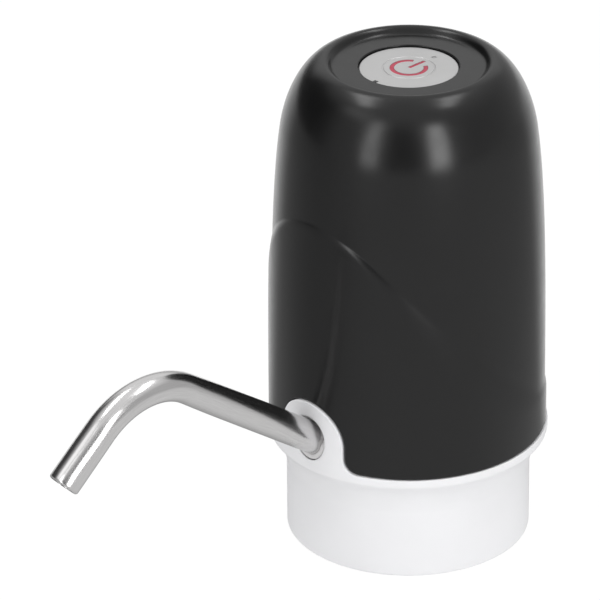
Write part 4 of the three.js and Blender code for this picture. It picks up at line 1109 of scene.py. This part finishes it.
# Bush and liner
def make_bush():
    inner = tube_radius + bush_gap / 2
    outline = rounded([
        (inner, bush_foot, 0), (inner, bush_top, bush_inner_round),
        (bush_radius, bush_top, bush_outer_round), (bush_radius, bush_foot, 0),
    ])
    skin = Skin()
    skin.ring(skin.rows(bore_station, even_angles(ring_columns), outline))
    bush = skin.piece("bush", "pale_rubber")
    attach(bush, "spout_ring")
    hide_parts("spout_collet")


def lowest(*places):
    """The place that lies lowest along the spout."""
    return min(places, key=spout_along.dot)


def liner_place(angle, radius, inset):
    """Point of the liner's face: cut along the arch's face below, and square to the tube above."""
    mouth = bore_point(angle, radius, rim_radius - liner_inset - inset)
    return lowest(bore_station(angle, radius, liner_top - inset), mouth)


def liner_foot_place(angle, radius):
    return lowest(liner_place(angle, radius, 2 * liner_edge), bore_station(angle, radius, liner_foot))


def make_liner():
    """Pale liner that fills the lower part of the hole's mouth above the bush."""
    skin = Skin()
    angles = even_angles(ring_columns)
    small = liner_edge * liner_edge_share
    rows = skin.rows(liner_place, angles, [
        (liner_inner, liner_edge), (liner_inner + small, small), (liner_inner + liner_edge, 0.0),
        (liner_outer - liner_edge, 0.0), (liner_outer - small, small), (liner_outer, liner_edge),
    ])
    skin.ring(rows + skin.rows(liner_foot_place, angles, [(liner_outer,), (liner_inner,)]))
    liner = skin.piece("liner", "pale_rubber")
    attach(liner, "housing")


# Button with its symbol, dot and key notch
symbol_floor = button_top - symbol_depth


def icon_outlines(grow):
    """Outlines of the symbol's open ring and its bar, grown by a gap."""
    half = icon_stroke / 2 + grow
    middle = icon_radius - icon_stroke / 2
    start = icon_opening / 2 - grow / middle
    turns = [mixed(start, 2 * pi - start, share) for share in even_shares(icon_steps)]
    ring = [((middle + half) * cos(a), (middle + half) * sin(a)) for a in turns]
    ring += [((middle - half) * cos(a), (middle - half) * sin(a)) for a in reversed(turns)]
    half = icon_bar_width / 2 + grow
    return [ring, box_outline(icon_bar_near - grow, icon_bar_far + grow, -half, half)]


def make_button():
    under = button_top - button_thickness
    skirt = button_top - button_skirt_depth
    skirt_inner = button_radius - button_skirt_wall
    groove_floor = button_top - groove_depth
    outline = rounded([
        (button_eye, under, 0),
        (skirt_inner, under, skirt_round),
        (skirt_inner, skirt, skirt_round),
        (button_radius, skirt, skirt_round),
        (button_radius, flange_top - flange_thickness, 0),
        (flange_radius, flange_top - flange_thickness, skirt_round),
        (flange_radius, flange_top, skirt_round),
        (button_radius, flange_top, 0),
        (button_radius, button_top, button_round),
        (groove_outer, button_top, groove_round),
        (groove_outer - groove_depth, groove_floor, 0),
        (groove_inner + groove_depth, groove_floor, 0),
        (groove_inner, button_top, groove_round),
        (button_eye, button_top, 0),
    ])
    cap = turned(outline, round_columns).piece("button", "silver")
    cutters = [prism(line, symbol_floor, crest_height, "silver") for line in icon_outlines(icon_gap)]
    key = box_outline(-button_radius - key_depth, key_depth - button_radius, -key_width / 2, key_width / 2)
    cutters.append(prism(key, button_top - key_drop, crest_height, "silver"))
    cutters.append(round_cutter(dot_radius + icon_gap, symbol_floor, crest_height, dot_place))
    cut(cap, cutters)
    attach(cap, "button")
    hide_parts("button_cap")


def make_symbol():
    for outline, name in zip(icon_outlines(0.0), ("symbol_ring", "symbol_bar")):
        mark = prism(outline, symbol_floor, button_top - symbol_sink, "red_light", name)
        soften(mark, symbol_round)
        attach(mark, "button")
        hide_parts("icon_light_guide")


def make_dot():
    foot = button_top - dot_sink
    dome = [(dot_radius * cos(turn), foot + dot_rise * sin(turn)) for turn in dot_turns]
    dot = turned([(dot_radius, symbol_floor)] + dome, dot_columns, dot_place).piece("dot", "pale_lens")
    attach(dot, "button")
    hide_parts("indicator_lens")


# Screws, spigot and grommet under the deck
post_places = [(post_radius * cos(turn), post_radius * sin(turn)) for turn in even_angles(post_count)]


def make_screws():
    low = screw_seat - screw_cap
    outline = [
        (screw_head - screw_edge_inset, low),
        (screw_head - screw_edge_inset / 2, low + screw_edge_height * screw_dome_share),
        (screw_head, low + screw_edge_height),
        (screw_head, screw_seat),
        (screw_shank, screw_seat),
        (screw_shank, screw_seat + screw_length),
    ]
    arm, half = screw_head / 2, screw_slot / 2
    for i, (x, y) in enumerate(post_places):
        screw = turned(outline, centre=(x, y)).piece("housing_screw_%d_fine" % (i + 1), "screw_steel")
        cutters = []
        for wide, deep in ((arm, half), (half, arm)):
            slot = box_outline(x - wide, x + wide, y - deep, y + deep)
            cutters.append(prism(slot, low - cut_overrun, low + screw_slot_depth, "screw_steel"))
        cut(screw, cutters)
        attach(screw, "housing")
        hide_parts("housing_screw_%d" % (i + 1))


def make_spigot():
    foot_round, edge_round = spigot_rounds
    outline = rounded([
        (spigot_bore, spigot_foot, foot_round), (spigot_radius, spigot_foot, edge_round),
        (spigot_radius, spigot_top, 0), (spigot_bore, spigot_top, 0),
    ])
    spigot = turned(outline, ring_columns, spigot_place, solid=False).piece("inlet_spigot", "pump_plastic")
    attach(spigot, "housing")


def make_grommet():
    outline = rounded([
        (grommet_bore, 0, grommet_round), (grommet_neck, 0, grommet_round),
        (grommet_neck, deck_thickness, 0), (grommet_flange, deck_thickness, grommet_round),
        (grommet_flange, grommet_top, grommet_round), (grommet_bore, grommet_top, 0),
    ])
    grommet = turned(outline, ring_columns, spigot_place, solid=False).piece("grommet", "pale_rubber")
    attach(grommet, "housing")
    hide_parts("inlet_grommet")


# Charging port
def port_block(name, slot, stations):
    """A block through round-cornered boxes at (place, half sizes, corner) stations from the axis."""
    skin = Skin()
    rows = []
    for place, (wide, high), corner in stations:
        corners = [(wide, -high), (wide, high), (-wide, high), (-wide, -high)]
        points = rounded([(across, up, corner) for across, up in corners])
        rows.append(skin.row([(place, point.x, port_height + point.y) for point in points]))
    skin.block(rows)
    return skin.piece(name, slot)


def make_port():
    back, front = port_low.x, port_high.x
    inner = [size - port_shell_wall for size in port_shell_half]
    inner_corner = port_shell_corner - port_shell_wall
    shell = port_block("port_shell", "motor_steel", (
        (back, port_shell_half, port_shell_corner),
        (front, port_shell_half, port_shell_corner),
        (front, inner, inner_corner),
        (back + port_shell_floor, inner, inner_corner),
    ))
    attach(shell, "housing")
    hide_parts("charging_port")
    tongue_corner = port_tongue_half[1] / 2
    tongue = port_block("port_tongue", "black_plastic", (
        (back + port_shell_floor / 2, port_tongue_half, tongue_corner),
        (front - port_tongue_front, port_tongue_half, tongue_corner),
    ))
    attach(tongue, "housing")


# The CAD nodes that stay get the finish of their slot
def dress_nodes():
    slots = {part["node"]: part["material_slot"] for part in frame["record"]["subparts"]}
    for name, piece in frame["nodes"].items():
        for slot in piece.material_slots:
            slot.material = finishes[slots[name]]


# Camera: its place and aim, and where the aim lies in the photo in pixels
camera_place = Vector((-0.9196, -0.9196, 0.7027))
camera_aim = Vector((0, 0, 0.039))
camera_roll = radians(0.115)
focal_pixels = 5484
frame_pixels = 600
aim_pixel = (408.4, 303.1)
sensor_width = 0.036
millimetres = 1000


def add_camera():
    data = bpy.data.cameras.new("camera")
    data.sensor_width = sensor_width * millimetres
    data.lens = focal_pixels / frame_pixels * data.sensor_width
    camera = add_object("camera", data)
    look = (camera_aim - camera_place).to_track_quat("-Z", "Y")
    middle = frame_pixels / 2
    aside = Vector((aim_pixel[0] - middle, middle - aim_pixel[1], -focal_pixels))
    turn = Vector((0, 0, -1)).rotation_difference(aside)
    camera.rotation_mode = "QUATERNION"
    camera.rotation_quaternion = look @ Quaternion((0, 0, 1), camera_roll) @ turn.inverted()
    camera.location = camera_place
    bpy.context.scene.camera = camera


# Sides that mirrors see: azimuth in degrees, the facing it goes from and to, and its level from and to
table_front = (245, -0.3, 0.9, 0.4, 0.75)
table_back = (45, 0.25, 0.95, 0.0, 1.15)
dark_side = (285, -0.95, -0.6, 0.05, 0.52)
dark_gap = (221, cos(radians(20)), cos(radians(8)), 1.0, 0.45)
backdrop_side = (45, 0.7, 0.95, 0.0, 1.0)

# Heights that mirrors see, as shares of straight up, and levels of the light
backdrop_rise = (0.1, 0.4, 0.0, 0.87)
ceiling_shares = (0.45, 0.9)
ceiling_level = 0.86
matt_level = 0.57

# Soft boxes seen in mirrors: azimuth, half width, foot and top in degrees, and strength
soft_boxes = ((190, 6.5, -0.9, 41, 3.5), (253, 7.5, -0.9, 38, 6.2), (160, 16, 37, 50, 0.75))
box_side_shares = (1.4, 0.6)
box_foot_fade = 2.5
box_top_fades = (8, -4)
last_mirror = 2.5

# Floor: half its size, its white and that white's share to the camera, and its share of its own light
floor_half = 3.0
floor_white = 1.06
floor_white_share = 0.85
floor_light_share = 0.2
floor_paint = {"Base Color": (0.85, 0.85, 0.85, 1), "Roughness": 0.9, "Specular IOR Level": 0.0}

# Lights: azimuth and elevation in degrees, width, height, power and whether mirrors show it
light_distance = 1.3
soft_lights = {
    "left_fill": (182, 20, 0.5, 1.2, 4.2, False),
    "right_fill": (264, 18, 0.5, 1.0, 6.1, False),
    "high_left": (114, 66, 0.85, 0.2, 2.9, True),
    "high_right": (332, 68, 0.8, 0.2, 2.6, True),
}


def combine(tree, operation, *values):
    """Folds numbers and outputs into one with an operation."""
    total = values[0]
    for value in values[1:]:
        made = node(tree, "ShaderNodeMath", {0: total, 1: value})
        made.operation = operation
        total = made.outputs[0]
    return total


def combine_vectors(tree, operation, first, second):
    made = node(tree, "ShaderNodeVectorMath", {0: first, 1: second})
    made.operation = operation
    return made.outputs


def facing(tree, direction, azimuth):
    """How far a level direction points towards an azimuth in degrees, from -1 to 1."""
    level = combine_vectors(tree, "MULTIPLY", direction, (1, 1, 0))["Vector"]
    unit = combine_vectors(tree, "NORMALIZE", level, (0, 0, 0))["Vector"]
    towards = (cos(radians(azimuth)), sin(radians(azimuth)), 0)
    return combine_vectors(tree, "DOT_PRODUCT", unit, towards)["Value"]


def lit_side(tree, direction, azimuth, *levels):
    return ranged(tree, facing(tree, direction, azimuth), *levels)


def blend(tree, share, first, second):
    return node(tree, "ShaderNodeMixShader", {0: share, 1: first, 2: second}).outputs[0]


def white_light(tree, strength):
    return node(tree, "ShaderNodeBackground", {"Color": (1, 1, 1, 1), "Strength": strength}).outputs[0]


def add_floor():
    """White to the camera but for the pump's shadow; to mirrors a table, brighter in front and behind."""
    mesh = bpy.data.meshes.new("floor")
    corners = box_outline(-floor_half, floor_half, -floor_half, floor_half)
    mesh.from_pydata([(x, y, floor_height) for x, y in corners], [], [(0, 1, 2, 3)])
    floor = add_object("floor", mesh)
    material, tree, shader = new_material("floor")
    feed(tree, shader, floor_paint)
    place = node(tree, "ShaderNodeTexCoord", {}).outputs["Object"]
    table = combine(tree, "MAXIMUM", lit_side(tree, place, *table_front), lit_side(tree, place, *table_back))
    path = node(tree, "ShaderNodeLightPath", {}).outputs
    glossy, diffuse = path["Is Glossy Ray"], path["Is Diffuse Ray"]
    straight = combine(tree, "MAXIMUM", path["Is Camera Ray"], path["Is Transmission Ray"])
    direct = combine(tree, "MULTIPLY", straight, floor_white)
    mirrored = combine(tree, "MULTIPLY", glossy, table)
    strength = combine(tree, "MAXIMUM", direct, mirrored, diffuse)
    white = combine(tree, "MULTIPLY", straight, floor_white_share)
    soft = combine(tree, "MULTIPLY", diffuse, floor_light_share)
    amount = combine(tree, "MAXIMUM", soft, glossy, white)
    glow = node(tree, "ShaderNodeEmission", {"Strength": strength}).outputs[0]
    surface = blend(tree, amount, shader.outputs["BSDF"], glow)
    feed(tree, tree.nodes["Material Output"], {"Surface": surface})
    mesh.materials.append(material)


def soft_box(tree, place, height, azimuth, half_width, bottom, top, strength):
    """Glow of one soft box, with soft edges."""
    sides = [cos(radians(half_width) * share) for share in box_side_shares]
    feet = [sin(radians(bottom + fade)) for fade in (-box_foot_fade, box_foot_fade)]
    tops = [sin(radians(top + fade)) for fade in box_top_fades]
    wide = lit_side(tree, place, azimuth, *sides)
    return combine(tree, "MULTIPLY", wide, ranged(tree, height, *feet), ranged(tree, height, *tops), strength)


def add_world():
    """White to the camera; to mirrors a studio with a dark side, and an even soft light on matt surfaces."""
    world = bpy.data.worlds.new("studio")
    bpy.context.scene.world = world
    world.use_nodes = True
    tree = world.node_tree
    tree.nodes.clear()
    place = node(tree, "ShaderNodeTexCoord", {}).outputs["Generated"]
    height = node(tree, "ShaderNodeSeparateXYZ", {"Vector": place}).outputs["Z"]
    path = node(tree, "ShaderNodeLightPath", {}).outputs
    walls = combine(tree, "MULTIPLY", lit_side(tree, place, *dark_side), lit_side(tree, place, *dark_gap))
    room = ranged(tree, height, *ceiling_shares, walls, ceiling_level)
    behind = lit_side(tree, place, *backdrop_side)
    backdrop = combine(tree, "MULTIPLY", behind, ranged(tree, height, *backdrop_rise))
    seen = combine(tree, "MAXIMUM", room, backdrop)
    first = combine(tree, "LESS_THAN", path["Ray Depth"], last_mirror)
    for box in soft_boxes:
        glow = combine(tree, "MULTIPLY", soft_box(tree, place, height, *box), first)
        seen = combine(tree, "ADD", seen, glow)
    lit = blend(tree, path["Is Glossy Ray"], white_light(tree, matt_level), white_light(tree, seen))
    clear = combine(tree, "MAXIMUM", path["Is Camera Ray"], path["Is Transmission Ray"])
    node(tree, "ShaderNodeOutputWorld", {"Surface": blend(tree, clear, lit, white_light(tree, 1.0))})


def add_light(name, azimuth, elevation, width, height, power, mirrored):
    """A soft box that faces the pump from a direction given in degrees."""
    data = bpy.data.lights.new(name, "AREA")
    data.shape = "RECTANGLE"
    data.size = width
    data.size_y = height
    data.energy = power
    light = add_object(name, data)
    light.visible_glossy = mirrored
    a, e = radians(azimuth), radians(elevation)
    aim = Vector((0, 0, crest_height / 2))
    light.location = aim + Vector((cos(a) * cos(e), sin(a) * cos(e), sin(e))) * light_distance
    light.rotation_mode = "QUATERNION"
    light.rotation_quaternion = (aim - light.location).to_track_quat("-Z", "Y")


add_camera()
make_shell()
make_base()
make_deck()
make_tube()
make_bush()
make_liner()
make_button()
make_symbol()
make_dot()
make_screws()
make_spigot()
make_grommet()
make_port()
dress_nodes()
add_floor()
add_world()
for name, light in soft_lights.items():
    add_light(name, *light)

view_settings = bpy.context.scene.view_settings
view_settings.view_transform = "Standard"
bpy.context.view_layer.update()
